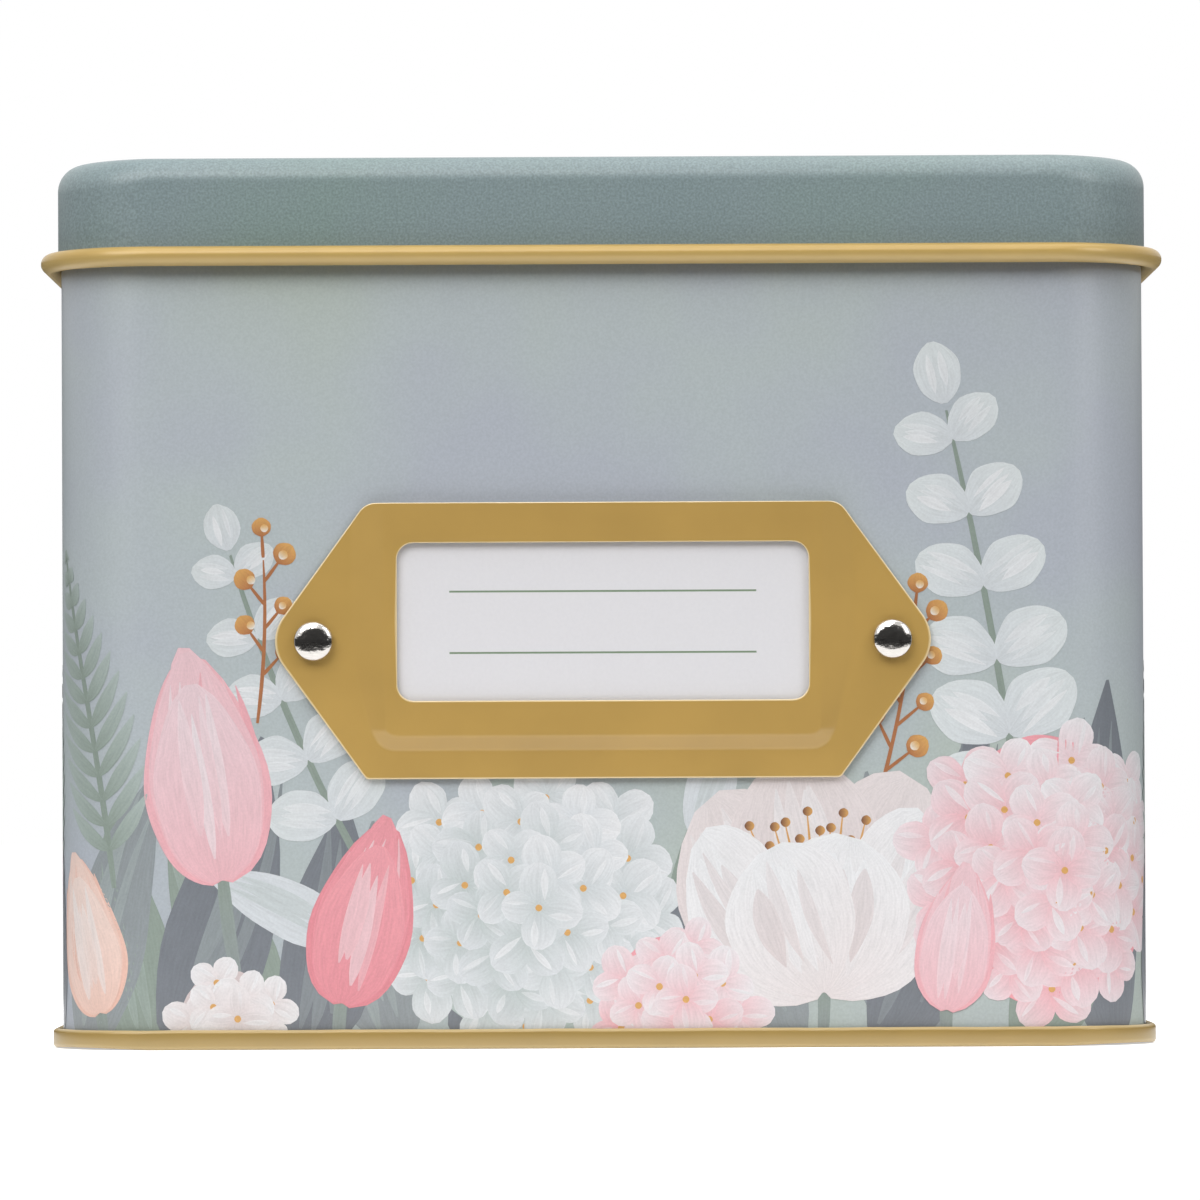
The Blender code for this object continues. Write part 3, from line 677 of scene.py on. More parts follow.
def berries(along, up, angle, length, count=7):
    """A thin stem with short side stems, each with a round berry and a small light on it."""
    share = np.linspace(0.3, 1.0, count)
    x, z, direction = points_up(along, up, angle, length, 0.1, share)
    turn = direction + np.where(np.arange(count) % 2, 38, -38) * (share < 1)
    reach = dice.uniform(2.2, 3.6, count)
    x_end, z_end = moved(x, z, turn, reach)
    size = dice.uniform(2.0, 2.7, count)
    order = 0.0012 + 0.0008 * np.arange(count)
    rows = [
        stem_line(along, up, angle, length, 0.22, 0.1, RUST, RUST),
        stem_line(x, z, turn, reach + 0.4, 0.2, 0, RUST, RUST, 0.0006),
        marks(x_end, z_end, turn, size, size / 2, *ROUND, order, RUST, OCHRE),
    ]
    order = order + 0.0004
    rows.append(marks(x_end + 0.3, z_end + 0.5, turn, 0.42 * size, 0.2 * size, *ROUND, order, IVORY, OCHRE))
    return np.vstack(rows)


# %% [markdown]
# The flowers are seen as a painter would block them in: back petals first and darker, front petals last
# and lighter, then a few loose strokes.

# %% Flowers
def tulip(along, up, lean, size, tone, deep, stem=18):
    """Five upright petals from one point, the middle one in front, on a bent stem."""
    turn = 90 + lean + np.array((-21, 21, -11, 11, 0))
    length = size * np.array((0.92, 0.9, 1.0, 0.98, 0.86))
    width = size * np.array((0.19, 0.19, 0.2, 0.2, 0.23))
    bend = np.array((0.32, -0.32, 0.2, -0.2, 0.0))
    fade = np.array((0.55, 0.5, 0.25, 0.2, 0.0))[:, None]
    tips = np.asarray(tone) + (np.asarray(deep) - tone) * fade
    roots = tips + (np.asarray(deep, float) - tips) * 0.55
    order = 0.001 + 0.005 * np.arange(5)
    petals = marks(along, up, turn, length, width, bend, 0.82, 0.62, order, roots, tips)
    fine = strokes_over(petals, 4, IVORY, 0.55)
    dark = strokes_over(petals[:4], 2, deep, 0.6, raised=0.002)
    stalk = stem_line(along, up + 1, 270 + lean * 0.5, stem, 0.75, 0.08, MOSS, PEWTER)
    return np.vstack((stalk, petals, fine, dark))


def flower_head(along, up, radius, tones, florets=30, size=4.3):
    """A round head of four-petalled florets on a spiral: floret i lies at radius x sqrt(i / n) and turns by
    137.5 degrees from the last, painted from the outside in."""
    i = np.arange(florets)[::-1]
    distance = radius * np.sqrt((i + 0.4) / florets)
    turn = np.radians(137.5 * i)
    x, z = along + distance * np.cos(turn), up + 0.92 * distance * np.sin(turn)
    shade = 0.45 - 0.35 * np.sin(turn + 0.6) * distance / radius + dice.uniform(-0.2, 0.2, florets)
    shade = np.clip(shade, 0, 1)[:, None]
    light_tone, mid_tone, dark_tone = (np.asarray(t, float) for t in tones)
    tip = light_tone + (mid_tone - light_tone) * shade
    root = mid_tone + (dark_tone - mid_tone) * shade
    spin = dice.uniform(0, 90, florets)
    order = 0.001 + 0.0034 * np.arange(florets)
    disc = marks(along - radius, up, 0, 2 * radius, radius, *ROUND, 0, dark_tone, dark_tone)
    petals = []
    for quarter in range(4):
        angle = spin + 90 * quarter + dice.uniform(-9, 9, florets)
        length = size * dice.uniform(0.85, 1.1, florets)
        later = order + 0.0005 * quarter
        petals.append(marks(x, z, angle, length, length * 0.43, 0, 1.15, 0.5, later, root, tip))
    petals = np.vstack(petals)
    hearts = marks(x - 0.4, z, 0, 0.8, 0.4, *ROUND, order + 0.0031, OCHRE, OCHRE)
    return np.vstack((disc, petals, strokes_over(petals, 1, IVORY, 0.7), hearts))


def poppy(along, up, lean, size, tones, stem=16):
    """A cup seen from the side: broad back petals, a fringe of stamens, broad front petals."""
    light_tone, mid_tone, dark_tone = (np.asarray(t, float) for t in tones)
    axis = 90 + lean
    turn, length = axis + np.array((-38, 36, 2)), size * np.array((0.98, 0.95, 1.02))
    bend, order = (0.18, -0.18, 0), 0.001 + 0.005 * np.arange(3)
    back = marks(along, up, turn, length, size * 0.33, bend, 1.25, 0.5, order, dark_tone, mid_tone)
    fan = axis + np.linspace(-30, 30, 17)
    reach = size * (0.72 + 0.06 * np.cos(np.arange(17) * 2.4))
    order = 0.0002 * np.arange(17)
    threads = marks(along, up, fan, reach, 0.22, 0, 0.5, 0.3, 0.0172 + order, RUST, OCHRE)
    x, z = moved(along, up, fan, reach)
    dots = marks(x - 0.5, z, 0, 1.15, 0.55, *ROUND, 0.0212 + order, BRICK, OCHRE)
    turn, length = axis + np.array((-52, 50, -20, 22)), size * np.array((0.84, 0.82, 0.68, 0.66))
    width, bend = size * np.array((0.27, 0.27, 0.3, 0.29)), (0.3, -0.3, 0.1, -0.12)
    order = 0.026 + 0.007 * np.arange(4)
    front = marks(along, up, turn, length, width, bend, 1.2, 0.5, order, mid_tone, light_tone)
    stalk = stem_line(along, up + 1, 270 + lean * 0.4, stem, 0.7, -0.08, MOSS, PEWTER)
    shadows = strokes_over(front, 3, dark_tone, 0.5, raised=0.004)
    soft, bright = strokes_over(back, 7, IVORY, 0.5), strokes_over(front, 7, IVORY, 0.6)
    return np.vstack((stalk, back, soft, threads, dots, front, bright, shadows))


WHITES, PINKS = (IVORY, CLOUD, MIST), (IVORY, BLUSH, ROSE)
CREAMS = (IVORY, (222, 214, 214), (204, 190, 190))

# %% [markdown]
# The garden is laid out in millimetres: first number along the wall from the middle of the front, second
# number up. The low beds run all the way round, and the wall stays plain near its top.

# %% The front's planting
front_marks = paint(
    leaf(-52, -2, 104, 30, 5.0, -0.10, MOSS),
    leaf(-37, -2, 118, 34, 5.4, -0.12, MOSS),
    leaf(-60, -2, 84, 35, 5.2, -0.16, PEWTER),
    leaf(-23, -2, 108, 28, 4.6, -0.20, PEWTER),
    leaf(-17, -1, 60, 34, 5.4, 0.18, SLATE),
    leaf(-34, -2, 76, 31, 5.6, 0.10, SLATE),
    leaf(-50, -1, 62, 38, 6.2, 0.20, SLATE),
    leaf(13, -2, 102, 30, 5.0, -0.14, MOSS),
    leaf(22, -2, 118, 30, 5.4, -0.14, PEWTER),
    leaf(4, -2, 58, 31, 5.4, 0.22, SLATE),
    leaf(59, -2, 98, 44, 5.8, -0.12, SLATE),
    leaf(37, -2, 112, 34, 5.0, -0.18, PEWTER),
    leaf(31, -2, 64, 42, 6.0, 0.16, SLATE),
    leaf(47, -2, 60, 29, 5.0, 0.2, MOSS),
    fern(-56, 18, 97, 40, 0.10, 8.5, MOSS),
    leaf(-29, 12, 148, 19, 3.4, 0.10, CLOUD),
    leaf(37, 17, 40, 20, 3.4, -0.16, CLOUD),
    leaf(10, 24, 66, 15, 2.9, 0.12, CLOUD),
    coin_sprig(49, 14, 96, 60, 0.06, 10.5, CLOUD, (214, 220, 221)),
    coin_sprig(-26, 18, 120, 42, -0.12, 8.0, CLOUD, (208, 214, 215), pairs=5),
    berries(-12, 24, 60, 22),
    berries(30, 24, 72, 26, count=8),
    berries(-39.5, 37, 82, 19, count=6),
    tulip(-58, 4, 14, 19, (233, 214, 206), (226, 176, 158), stem=6),
    tulip(-43.5, 19, 9, 27, BLUSH, ROSE),
    flower_head(-9, 16, 15, WHITES, florets=38, size=4.9),
    tulip(-30, 5, -14, 22, ROSE, DEEP_ROSE, stem=8),
    flower_head(-43, 3.5, 5.5, CREAMS, florets=9, size=3.8),
    poppy(25, 6, 5, 27, CREAMS, stem=8),
    flower_head(51, 20, 15, PINKS, florets=38, size=4.9),
    flower_head(8, 5.5, 7.5, PINKS, florets=14, size=4.0),
    tulip(39, 4, -8, 17, BLUSH, ROSE, stem=5),
)
print("marks on the front:", len(front_marks))

# %% [markdown]
# The ends and the back repeat the same plants in another order, so that the bed goes on round the corners.

# %% The planting round the ends and the back
def border(start, turn):
    """A bed about 50 mm long that starts `start` mm along the wall; `turn` is 1 or -1 to mirror it."""
    plants = (
        leaf(20, -2, 112, 33, 4.6, -0.16, MOSS),
        leaf(12, -2, 66, 30, 4.4, 0.20, PEWTER),
        leaf(44, -2, 104, 30, 4.4, -0.14, PEWTER),
        leaf(2, -2, 80, 34, 4.8, 0.14, SLATE),
        leaf(31, -2, 72, 36, 4.8, 0.16, SLATE),
        fern(6, 14, 100, 30, -0.08, 6.5, MOSS, pairs=11),
        coin_sprig(27, 10, 86, 46, 0.08, 8.0, CLOUD, (212, 218, 219), pairs=5),
        berries(17, 20, 96, 22),
        berries(41, 20, 78, 20, count=6),
        tulip(8, 12, 8, 20, BLUSH, ROSE),
        flower_head(24, 13, 10.5, WHITES, florets=24),
        tulip(37, 14, -10, 19, ROSE, DEEP_ROSE),
        poppy(46, 4, 10, 16, CREAMS, stem=5),
    )
    for plant in plants:
        if turn < 0:
            plant[:, 2] = 180 - plant[:, 2]
            plant[:, [0, 5]] *= -1
        plant[:, 0] += start
    return paint(*plants)


GARDENS = {
    "garden_front_left": front_marks[front_marks[:, 0] < 0],
    "garden_front_right": front_marks[front_marks[:, 0] >= 0],
    "garden_right_end": border(66, 1),
    "garden_left_end": border(-66, -1),
    "garden_back_right": border(122, 1),
    "garden_back_left": border(-122, -1),
}
print(f"the ink is {INK_MAP.max():.3f} mm thick at most")

# %% [markdown]
# Now every row becomes a patch: a front and a back a hundredth of a millimetre apart and a band of faces
# between them, so it is a closed thin solid. Marks on a rounded corner get fine steps, because flat facets
# would cut through the marks below.

# %% From marks to ink
PATCH_THICKNESS = 0.01 * MM
STEP_PAIRS = ((34, 16), (34, 4), (8, 6), (14, 6), (8, 4), (9, 2))


def patch_faces(count, steps):
    """Faces of every patch: the front's quads, the back's reversed, and the band between their borders."""
    rows, columns = steps[0] + 1, steps[1] + 1
    size = rows * columns
    front = grid_faces(rows, columns, wrap_columns=False)
    grid = np.arange(size).reshape(rows, columns)
    border_line = np.concatenate((grid[0, :-1], grid[:-1, -1], grid[-1, :0:-1], grid[:0:-1, 0]))
    following = np.roll(border_line, -1)
    band = np.column_stack((border_line, border_line + size, following + size, following))
    one = np.vstack((front, front[:, ::-1] + size, band))
    return (one[None] + 2 * size * np.arange(count)[:, None, None]).reshape(-1, 4)


def patches(rows, steps):
    """Points, faces, colours and brush coordinates of the patches for some rows. A colour goes from the
    root's to the tip's with t to the power 0.8."""
    s, z, out, t, c, brush = mark_shapes(rows, steps)
    points = np.stack((on_the_wall(s, z, out), on_the_wall(s, z, out - PATCH_THICKNESS)), 1)
    root, tip = rows[:, None, None, ROOT], rows[:, None, None, TIP]
    screen = (root + (tip - root) * t[..., None] ** 0.8) * (1 + 0.02 * (np.abs(c) - 0.5))[..., None]
    linear = to_linear(np.clip(screen / 255, 0, 1))
    colour = np.concatenate((linear, np.ones((*linear.shape[:-1], 1))), -1)
    colour, brush = (np.stack((a, a), 1).reshape(-1, a.shape[-1]) for a in (colour, brush))
    return points.reshape(-1, 3), patch_faces(len(rows), steps), colour, brush


def step_kinds(rows):
    """Which pair of steps each mark gets: few for a short or thin one, more on a rounded corner."""
    bent = reaches_corner(mark_shapes(rows, (12, 6))[0])
    long, wide = rows[:, LENGTH] > 7, rows[:, WIDTH] > 1
    return np.select((bent & long & wide, bent & long, bent, long & wide, wide), (0, 1, 2, 3, 4), 5)


def ink_patches(name, rows):
    """All marks as one mesh with an `ink` colour on each point and a `brush` UV along each mark."""
    kinds = step_kinds(rows)
    parts = [patches(rows[kinds == k], steps) for k, steps in enumerate(STEP_PAIRS) if np.any(kinds == k)]
    first = np.cumsum([0] + [len(part[0]) for part in parts])
    faces = np.vstack([part[1] + start for part, start in zip(parts, first)])
    points, colour, brush = (np.vstack([part[i] for part in parts]) for i in (0, 2, 3))
    mesh = bpy.data.meshes.new(name)
    mesh.from_pydata(points.tolist(), [], faces.tolist())
    mesh.attributes.new("ink", "FLOAT_COLOR", "POINT").data.foreach_set("color", colour.ravel())
    corner_points = np.empty(len(mesh.loops), int)
    mesh.loops.foreach_get("vertex_index", corner_points)
    mesh.uv_layers.new(name="brush").data.foreach_set("uv", brush[corner_points].ravel())
    return linked(name, shaded(mesh))


# %% [markdown]
# The ink takes its colour from the marks. A noise stretched along the `brush` UV thins and thickens it in
# streaks, as bristles do, and the grain of the printing goes over everything, as it does on the wrapper.

# %% The ink's finish and the printed garden
def printed_ink():
    """Ink colour x bristle streaks x printing grain, with the wrapper's own gloss."""
    material = finish("printed_ink", 0.36, coat=0.25, coat_roughness=0.18)
    ink = add(material, "ShaderNodeAttribute", attribute_name="ink").outputs["Color"]
    along_mark = add(material, "ShaderNodeUVMap", uv_map="brush").outputs["UV"]
    bristle = noise(material, along_mark, 2.2, detail=4.0, roughness=0.6)
    streak = ramp(material, bristle, (0.3, grey(0.88)), (0.62, grey(1.0)))
    grained(material, place(material), blend(material, 1.0, ink, streak, "MULTIPLY"), 0.07)
    return material


ink_finish = printed_ink()
for name, rows in GARDENS.items():
    report(dress(ink_patches(name, rows), ink_finish, "tin"))

# %% [markdown]
# The base is drawn like a shallow pan. A wall rises inside the wrapper, and the edge folds over the
# wrapper's flange and is pressed flat, which makes the gold seam at the foot. A pressed seam is never
# quite level, so its top edge wanders by a few hundredths of a millimetre.

# %% The base and its seam
SEAM_PROUD, SEAM_HEIGHT, SEAM_BEND = 1.2 * MM, 2.3 * MM, 0.35 * MM
HOOK_LINE, HOOK_END, SEAM_BODY = 0.375 * MM, 1.05 * MM, 1.2 * MM
CORNER_LIFT, SEAM_WANDER = 0.22 * MM, 0.07 * MM
FLOOR_TOP, FLOOR_BEND = 3 * MM, 0.8 * MM
PANEL_STEP_IN, PANEL_STEP_RUN, PANEL_DROP = 4.5 * MM, 1.2 * MM, 0.5 * MM


def base_section():
    """Sunken panel, floor, inside wall, flat foot, outer wall of the seam and its hook, as one path."""
    wall = -(TINPLATE + CLEARANCE + HALF_SHEET)
    outer = SEAM_PROUD - HALF_SHEET
    bend = (outer - HOOK_LINE) / 2
    floor = FLOOR_TOP - HALF_SHEET
    step_out = wall - PANEL_STEP_IN
    step_in = step_out - PANEL_STEP_RUN
    parts = (
        np.array([(step_in - PANEL_STEP_RUN, floor - PANEL_DROP)]),
        soft_step((step_in, floor - PANEL_DROP), (step_out, floor), 1),
        arc((wall - FLOOR_BEND, floor - FLOOR_BEND), FLOOR_BEND, 90, 0, 8),
        arc((wall + SEAM_BEND, HALF_SHEET + SEAM_BEND), SEAM_BEND, 180, 270, 6),
        arc((outer - SEAM_BEND, HALF_SHEET + SEAM_BEND), SEAM_BEND, 270, 360, 6),
        arc((HOOK_LINE + bend, SEAM_HEIGHT - HALF_SHEET - bend), bend, 0, 180, 12),
        np.array([(HOOK_LINE, HOOK_END)]),
    )
    return np.vstack(parts)


def wavy(grid, amount, above):
    """Lowers points above a height by a sum of three slow waves along X and Y, up to `amount`."""
    x, y, z = np.moveaxis(grid, -1, 0)
    wave = np.sin(310 * x + 190 * y) + 0.7 * np.sin(730 * x - 410 * y + 1.3) + 0.4 * np.sin(1570 * x + 2.1)
    share = np.clip((z - above) / (0.5 * MM), 0, 1)
    return joined(x, y, z - amount * share * (0.5 + wave / 4.2))


out, up = sheet_loop(base_section()).T
base_grid = carried_round(out, up, side_steps=48)
outer_part = (out > -1 * MM)[:, None]
raised = outer_part & (base_grid[..., 2] < SEAM_BODY)
base_grid[..., 2] += np.where(raised, CORNER_LIFT * corner_share(side_steps=48), 0)
base_grid = np.where(outer_part[..., None], wavy(base_grid, SEAM_WANDER, SEAM_BODY), base_grid)
base = closed_sweep("base_seam", base_grid, capped=True)
# The top bend pales as worn lacquer; the foot bend gets the pale tone as a painted reflection of the white
# table.
top_edge = np.clip((up - 2.0 * MM) / (0.3 * MM), 0, 1) * (out > 0)
painted_floor_reflection = np.clip(1 - up / (0.7 * MM), 0, 1) * (out > 0.6 * MM)
set_wear_and_sheen(base, np.repeat(0.5 * top_edge + 0.7 * painted_floor_reflection, base_grid.shape[1]))
report(dress(base, seam_enamel, "tin", "base_panel"))

# %% [markdown]
# The lid is drawn from one sheet: a flat panel, a soft shoulder and a short wall whose edge is curled
# outwards. The curl is lacquered gold and the rest is printed, so the lid is made here as two skins of one
# sheet that meet behind the roll.

# %% The lid
LID_PROUD, LID_SHOULDER, LID_PANEL_INSET = 0.36 * MM, 3 * MM, 8 * MM
CORNER_SOFTENING = 0.8 * MM
WALL_FOOT = CURL_HEIGHT + 0.9 * MM
NOTCH_HALF, NOTCH_DOWN, NOTCH_UP = 4.4 * MM, 3.2 * MM, 1.575 * MM


def cap_skin(inset):
    """One face of the cap, `inset` within its outside: panel edge, a quarter circle whose radius is 3 mm
    on the sides and grows by the corner share to 3.8 mm in the corners, and the foot of the wall."""
    shoulder = LID_SHOULDER + CORNER_SOFTENING * corner_share()
    a = np.radians(np.linspace(90, 0, 19))[:, None]
    out = LID_PROUD - shoulder + (shoulder - inset) * np.cos(a)
    up = TIN_HEIGHT - shoulder + (shoulder - inset) * np.sin(a)
    row = np.ones((1, out.shape[1]))
    out = np.vstack((row * (LID_PROUD - LID_PANEL_INSET), out, row * (LID_PROUD - inset)))
    return out, np.vstack((row * (TIN_HEIGHT - inset), up, row * WALL_FOOT))


def lid_notches(prefix):
    """Two blocks that leave room in the back of the curl for the tongues."""
    y = BODY_DEPTH / 2 - CUT_ROOM, HINGE_Y + CUT_ROOM
    return tongue_blocks(prefix, NOTCH_HALF, y, (CURL_HEIGHT - NOTCH_DOWN, CURL_HEIGHT + NOTCH_UP))


outer_skin, inner_skin = cap_skin(0), cap_skin(TINPLATE)
cap_out, cap_up = (np.vstack((outer, inner[::-1])) for outer, inner in zip(outer_skin, inner_skin))
cap = cut(closed_sweep("lid_cap", carried_round(cap_out, cap_up), capped=True), lid_notches("cap_notch"))
curl = arc((CURL_OUT, CURL_HEIGHT), CURL_BEND, 180, 480, 44)
rim_loop = sheet_loop(np.vstack((np.array([(LID_WALL, WALL_FOOT)]), curl)))
rim = closed_sweep("lid_rim", carried_round(*rim_loop.T, side_steps=24))
rim = cut(rim, lid_notches("rim_notch"))
places = np.empty(3 * len(rim.data.vertices))
rim.data.vertices.foreach_get("co", places)
x, y, z = places.reshape(-1, 3).T
past_front, past_side = np.maximum(np.abs(x) - HALF_FRONT, 0), np.maximum(np.abs(y) - HALF_SIDE, 0)
beyond = np.hypot(past_front, past_side) - CORNER_RADIUS
# The underside of the curl, outside the lid's wall, gets the pale tone as a painted reflection of the white
# table below.
set_wear_and_sheen(rim, 0.45 * np.clip((CURL_HEIGHT + 0.2 * MM - z) / (0.5 * MM), 0, 1) * (beyond > CURL_OUT))
report(dress(cap, lid_enamel, "lid", "lid_shell"))
report(dress(rim, gold_enamel, "lid", "lid_shell"))

# %% [markdown]
# The label holder is a stamped frame. Its flat wings lie on the wrapper, and its middle is pressed
# forward, which leaves a pocket open at the top. It is made as rings that run from the six-sided outline
# in to the window. The outline's tips pair with the middles of the window's upright sides.

# %% The label holder's plan
HOLDER_MIDDLE, HOLDER_HEIGHT, HOLDER_WIDTH, HOLDER_METAL = 46.5 * MM, 31.5 * MM, 74.8 * MM, 0.4 * MM
PLATEAU_WIDTH, PLATEAU_FOOT, PLATEAU_RISE = 49.2 * MM, 35.7 * MM, 0.9 * MM
HOLDER_TOP, HOLDER_FOOT = HOLDER_MIDDLE + HOLDER_HEIGHT / 2, HOLDER_MIDDLE - HOLDER_HEIGHT / 2
TIP_RADIUS, TOP_RADIUS, FOOT_RADIUS, WINDOW_RADIUS = 4.6 * MM, 2.3 * MM, 0.6 * MM, 1.9 * MM
SIDE_BORDER, TOP_BORDER, FOOT_BORDER = 1.15 * MM, 4.6 * MM, 3.95 * MM
HOLDER_SLOPE = math.radians(54)
RUN_POINTS = 52


def fillet(corner, before, after, radius, steps=24):
    """A corner's arc, tangent to both sides: its centre lies on the bisector, radius / sin(half angle)
    from the corner. A radius of 0 repeats the corner."""
    corner, before, after = (np.array(p, float) for p in (corner, before, after))
    if radius == 0:
        return np.repeat(corner[None], steps + 1, 0)
    to_before = (before - corner) / np.linalg.norm(before - corner)
    to_after = (after - corner) / np.linalg.norm(after - corner)
    half = np.arccos(np.clip(to_before @ to_after, -1, 1)) / 2
    bisector = (to_before + to_after) / np.linalg.norm(to_before + to_after)
    centre = corner + bisector * radius / np.sin(half)
    start = corner + to_before * radius / np.tan(half) - centre
    end = corner + to_after * radius / np.tan(half) - centre
    t = np.linspace(0, 1, steps + 1)[:, None]
    spread = np.pi - 2 * half
    return centre + (np.sin((1 - t) * spread) * start + np.sin(t * spread) * end) / np.sin(spread)


def even_run(points):
    """The same line with RUN_POINTS points, set closer at its two ends by (1 - cos) / 2."""
    length = np.concatenate(([0], np.cumsum(np.linalg.norm(np.diff(points, axis=0), axis=1))))
    wanted = (1 - np.cos(np.linspace(0, np.pi, RUN_POINTS + 1)[:-1])) / 2 * length[-1]
    return np.column_stack([np.interp(wanted, length, points[:, i]) for i in (0, 1)])


def matched_loop(side, half_top, middle, top, low, radii):
    """A filleted six-sided loop: two tips at `side` and four corners at `half_top`. It is cut at the middle
    of each corner; every run between two cuts gets as many points, so two such loops pair up."""
    corners = ((side, middle), (half_top, top), (-half_top, top))
    corners += ((-side, middle), (-half_top, low), (half_top, low))
    arcs = [fillet(corners[i], corners[i - 1], corners[(i + 1) % 6], radii[i]) for i in range(6)]
    return np.vstack([even_run(np.vstack((arcs[i][12:], arcs[(i + 1) % 6][:13]))) for i in range(6)])


tip = HOLDER_WIDTH / 2 + TIP_RADIUS * (1 / math.sin(HOLDER_SLOPE) - 1)
half_top = tip - HOLDER_HEIGHT / 2 / math.tan(HOLDER_SLOPE)
radii = (TIP_RADIUS, TOP_RADIUS, TOP_RADIUS, TIP_RADIUS, FOOT_RADIUS, FOOT_RADIUS)
outline = matched_loop(tip, half_top, HOLDER_MIDDLE, HOLDER_TOP, HOLDER_FOOT, radii)
side = PLATEAU_WIDTH / 2 - SIDE_BORDER
top, low = HOLDER_TOP - TOP_BORDER, PLATEAU_FOOT + FOOT_BORDER
radii = (0, WINDOW_RADIUS, WINDOW_RADIUS, 0, WINDOW_RADIUS, WINDOW_RADIUS)
window = matched_loop(side, side, (top + low) / 2, top, low, radii)
print(f"holder half width {outline[:, 0].max():.5f}, window {2 * side:.5f} wide")

# %% [markdown]
# The press that raises the middle leaves a soft shoulder. It is narrow along the foot, where it catches
# the light, and widens up the sides, where it hardly shows.

# %% The label holder
SHOULDER_FOOT, SHOULDER_LOW, SHOULDER_HIGH = 1.75 * MM, 1.9 * MM, 4.4 * MM
SHOULDER_GROWS_OVER, PLATEAU_RADIUS, EDGE_ROUND = 10 * MM, 1.0 * MM, 0.11 * MM


def raised_share(x, z):
    """1 on the plateau and 0 on the wings. Between them, with d the distance beyond the plateau's edge
    and w the shoulder's width in that direction, s = d / w runs down a straight slope whose two ends are
    rounded over a seventh of it: the slope is summed from a speed that eases in and out."""
    dx = np.maximum(np.abs(x) - (PLATEAU_WIDTH / 2 - PLATEAU_RADIUS), 0)
    dz = np.maximum(PLATEAU_FOOT + PLATEAU_RADIUS - z, 0)
    distance = np.hypot(dx, dz)
    safe = np.maximum(distance, 1e-9)
    aside = np.interp(z, (PLATEAU_FOOT, PLATEAU_FOOT + SHOULDER_GROWS_OVER), (SHOULDER_LOW, SHOULDER_HIGH))
    width = 1 / np.sqrt((dx / safe / aside) ** 2 + (dz / safe / SHOULDER_FOOT) ** 2 + 1e-9)
    samples = np.linspace(0, 1, 201)
    ease = np.clip(np.minimum(samples, 1 - samples) / 0.14, 0, 1)
    fallen = np.cumsum(ease * ease * (3 - 2 * ease))
    s = np.clip((distance - PLATEAU_RADIUS) / width, 0, 1)
    return 1 - np.interp(s, samples, fallen / fallen[-1])


def holder_rings(count=46, soften=EDGE_ROUND):
    """Where each ring lies: its share of the way from outline to window, a push along that way, and its
    depth below the front face. The rounded edges come from the pushes, the rest from the shares."""
    push = np.zeros(count)
    push[0], push[-1] = soften, -soften
    front = np.column_stack((np.linspace(0, 1, count), push, np.zeros(count)))
    quarter = 0.3 * soften
    depths = (quarter, soften, HOLDER_METAL - soften, HOLDER_METAL - quarter)
    edge = np.column_stack(((1, 1, 1, 1), (-quarter, 0, 0, -quarter), depths))
    return np.vstack((front, edge, front[::-1] + (0, 0, HOLDER_METAL), edge[::-1] * (0, -1, 1)))


share, push, depth = holder_rings().T[..., None]
way = window - outline
unit = way / np.linalg.norm(way, axis=1, keepdims=True)
plan = outline[None] + share[..., None] * way[None] + push[..., None] * unit[None]
wing_face = FRONT_WALL_Y - CLEARANCE - HOLDER_METAL
face = wing_face - PLATEAU_RISE * raised_share(plan[..., 0], plan[..., 1])
holder = closed_sweep("holder_frame", joined(plan[..., 0], face + depth, plan[..., 1]))
on_a_side = (share % 1 == 0) & (depth > 0) & (depth < HOLDER_METAL)
# Every cut edge and its rounding get the pale tone, as worn lacquer and as a painted highlight.
set_wear_and_sheen(holder, np.repeat(0.7 * ((np.abs(push) > 0) | on_a_side), len(outline)))
report(dress(holder, holder_enamel, "tin", "label_holder"))

# %% [markdown]
# The rivets are turned shapes: a low dome on a thin rim outside, a shank through both sheets, and a
# clinched tail inside. A profile spun in 64 steps gives a reflection without facets.

# %% The rivets
def oval_rings(centres, widths, heights, upright, sides):
    """A grid of ovals: centre + width cos(a) along X + height sin(a) along Z if upright, else along Y."""
    a = np.linspace(0, 2 * np.pi, sides, endpoint=False)
    grid = np.repeat(np.array(centres, float)[:, None], sides, 1)
    grid[..., 0] += np.array(widths)[:, None] * np.cos(a)
    grid[..., 2 if upright else 1] += np.array(heights)[:, None] * np.sin(a)
    return grid


def rivet_profile(head=2.25 * MM, dome=0.9 * MM, shank=1.1 * MM, tail_round=0.3 * MM):
    """Rows of (radius, y). The dome is flatter in the middle than an ellipse, with r = R sin a and depth
    H cos(a) to the power 0.7; then come a rolled rim, the shank and the tail's two rounds."""
    seat = FRONT_WALL_Y - CLEARANCE - HOLDER_METAL - CLEARANCE
    tail = FRONT_WALL_Y + TINPLATE + CLEARANCE
    a = np.radians(np.linspace(1.2, 90, 34))
    cover = np.column_stack((head * np.sin(a), seat - 0.25 * MM - dome * np.cos(a) ** 0.7))
    under = np.array(((head, seat - 0.08 * MM), (2.17 * MM, seat), (shank, seat), (shank, tail)))
    clinch = arc((1.8 * MM, tail + tail_round), tail_round, -90, 90, 8)
    end = np.array(((shank, tail + 0.6 * MM), (0.7 * MM, tail + 0.45 * MM), (0.02 * MM, tail + 0.4 * MM)))
    return np.vstack((cover, under, clinch, end))


radius, depth = rivet_profile().T
for side, x in zip(SIDES, RIVET_PLACES):
    centres = np.column_stack((np.full(len(depth), x), depth, np.full(len(depth), HOLDER_MIDDLE)))
    rivet = closed_sweep(f"dome_rivet_{side}", oval_rings(centres, radius, radius, True, 64), capped=True)
    report(dress(rivet, nickel, "tin", f"rivet_{side}"))

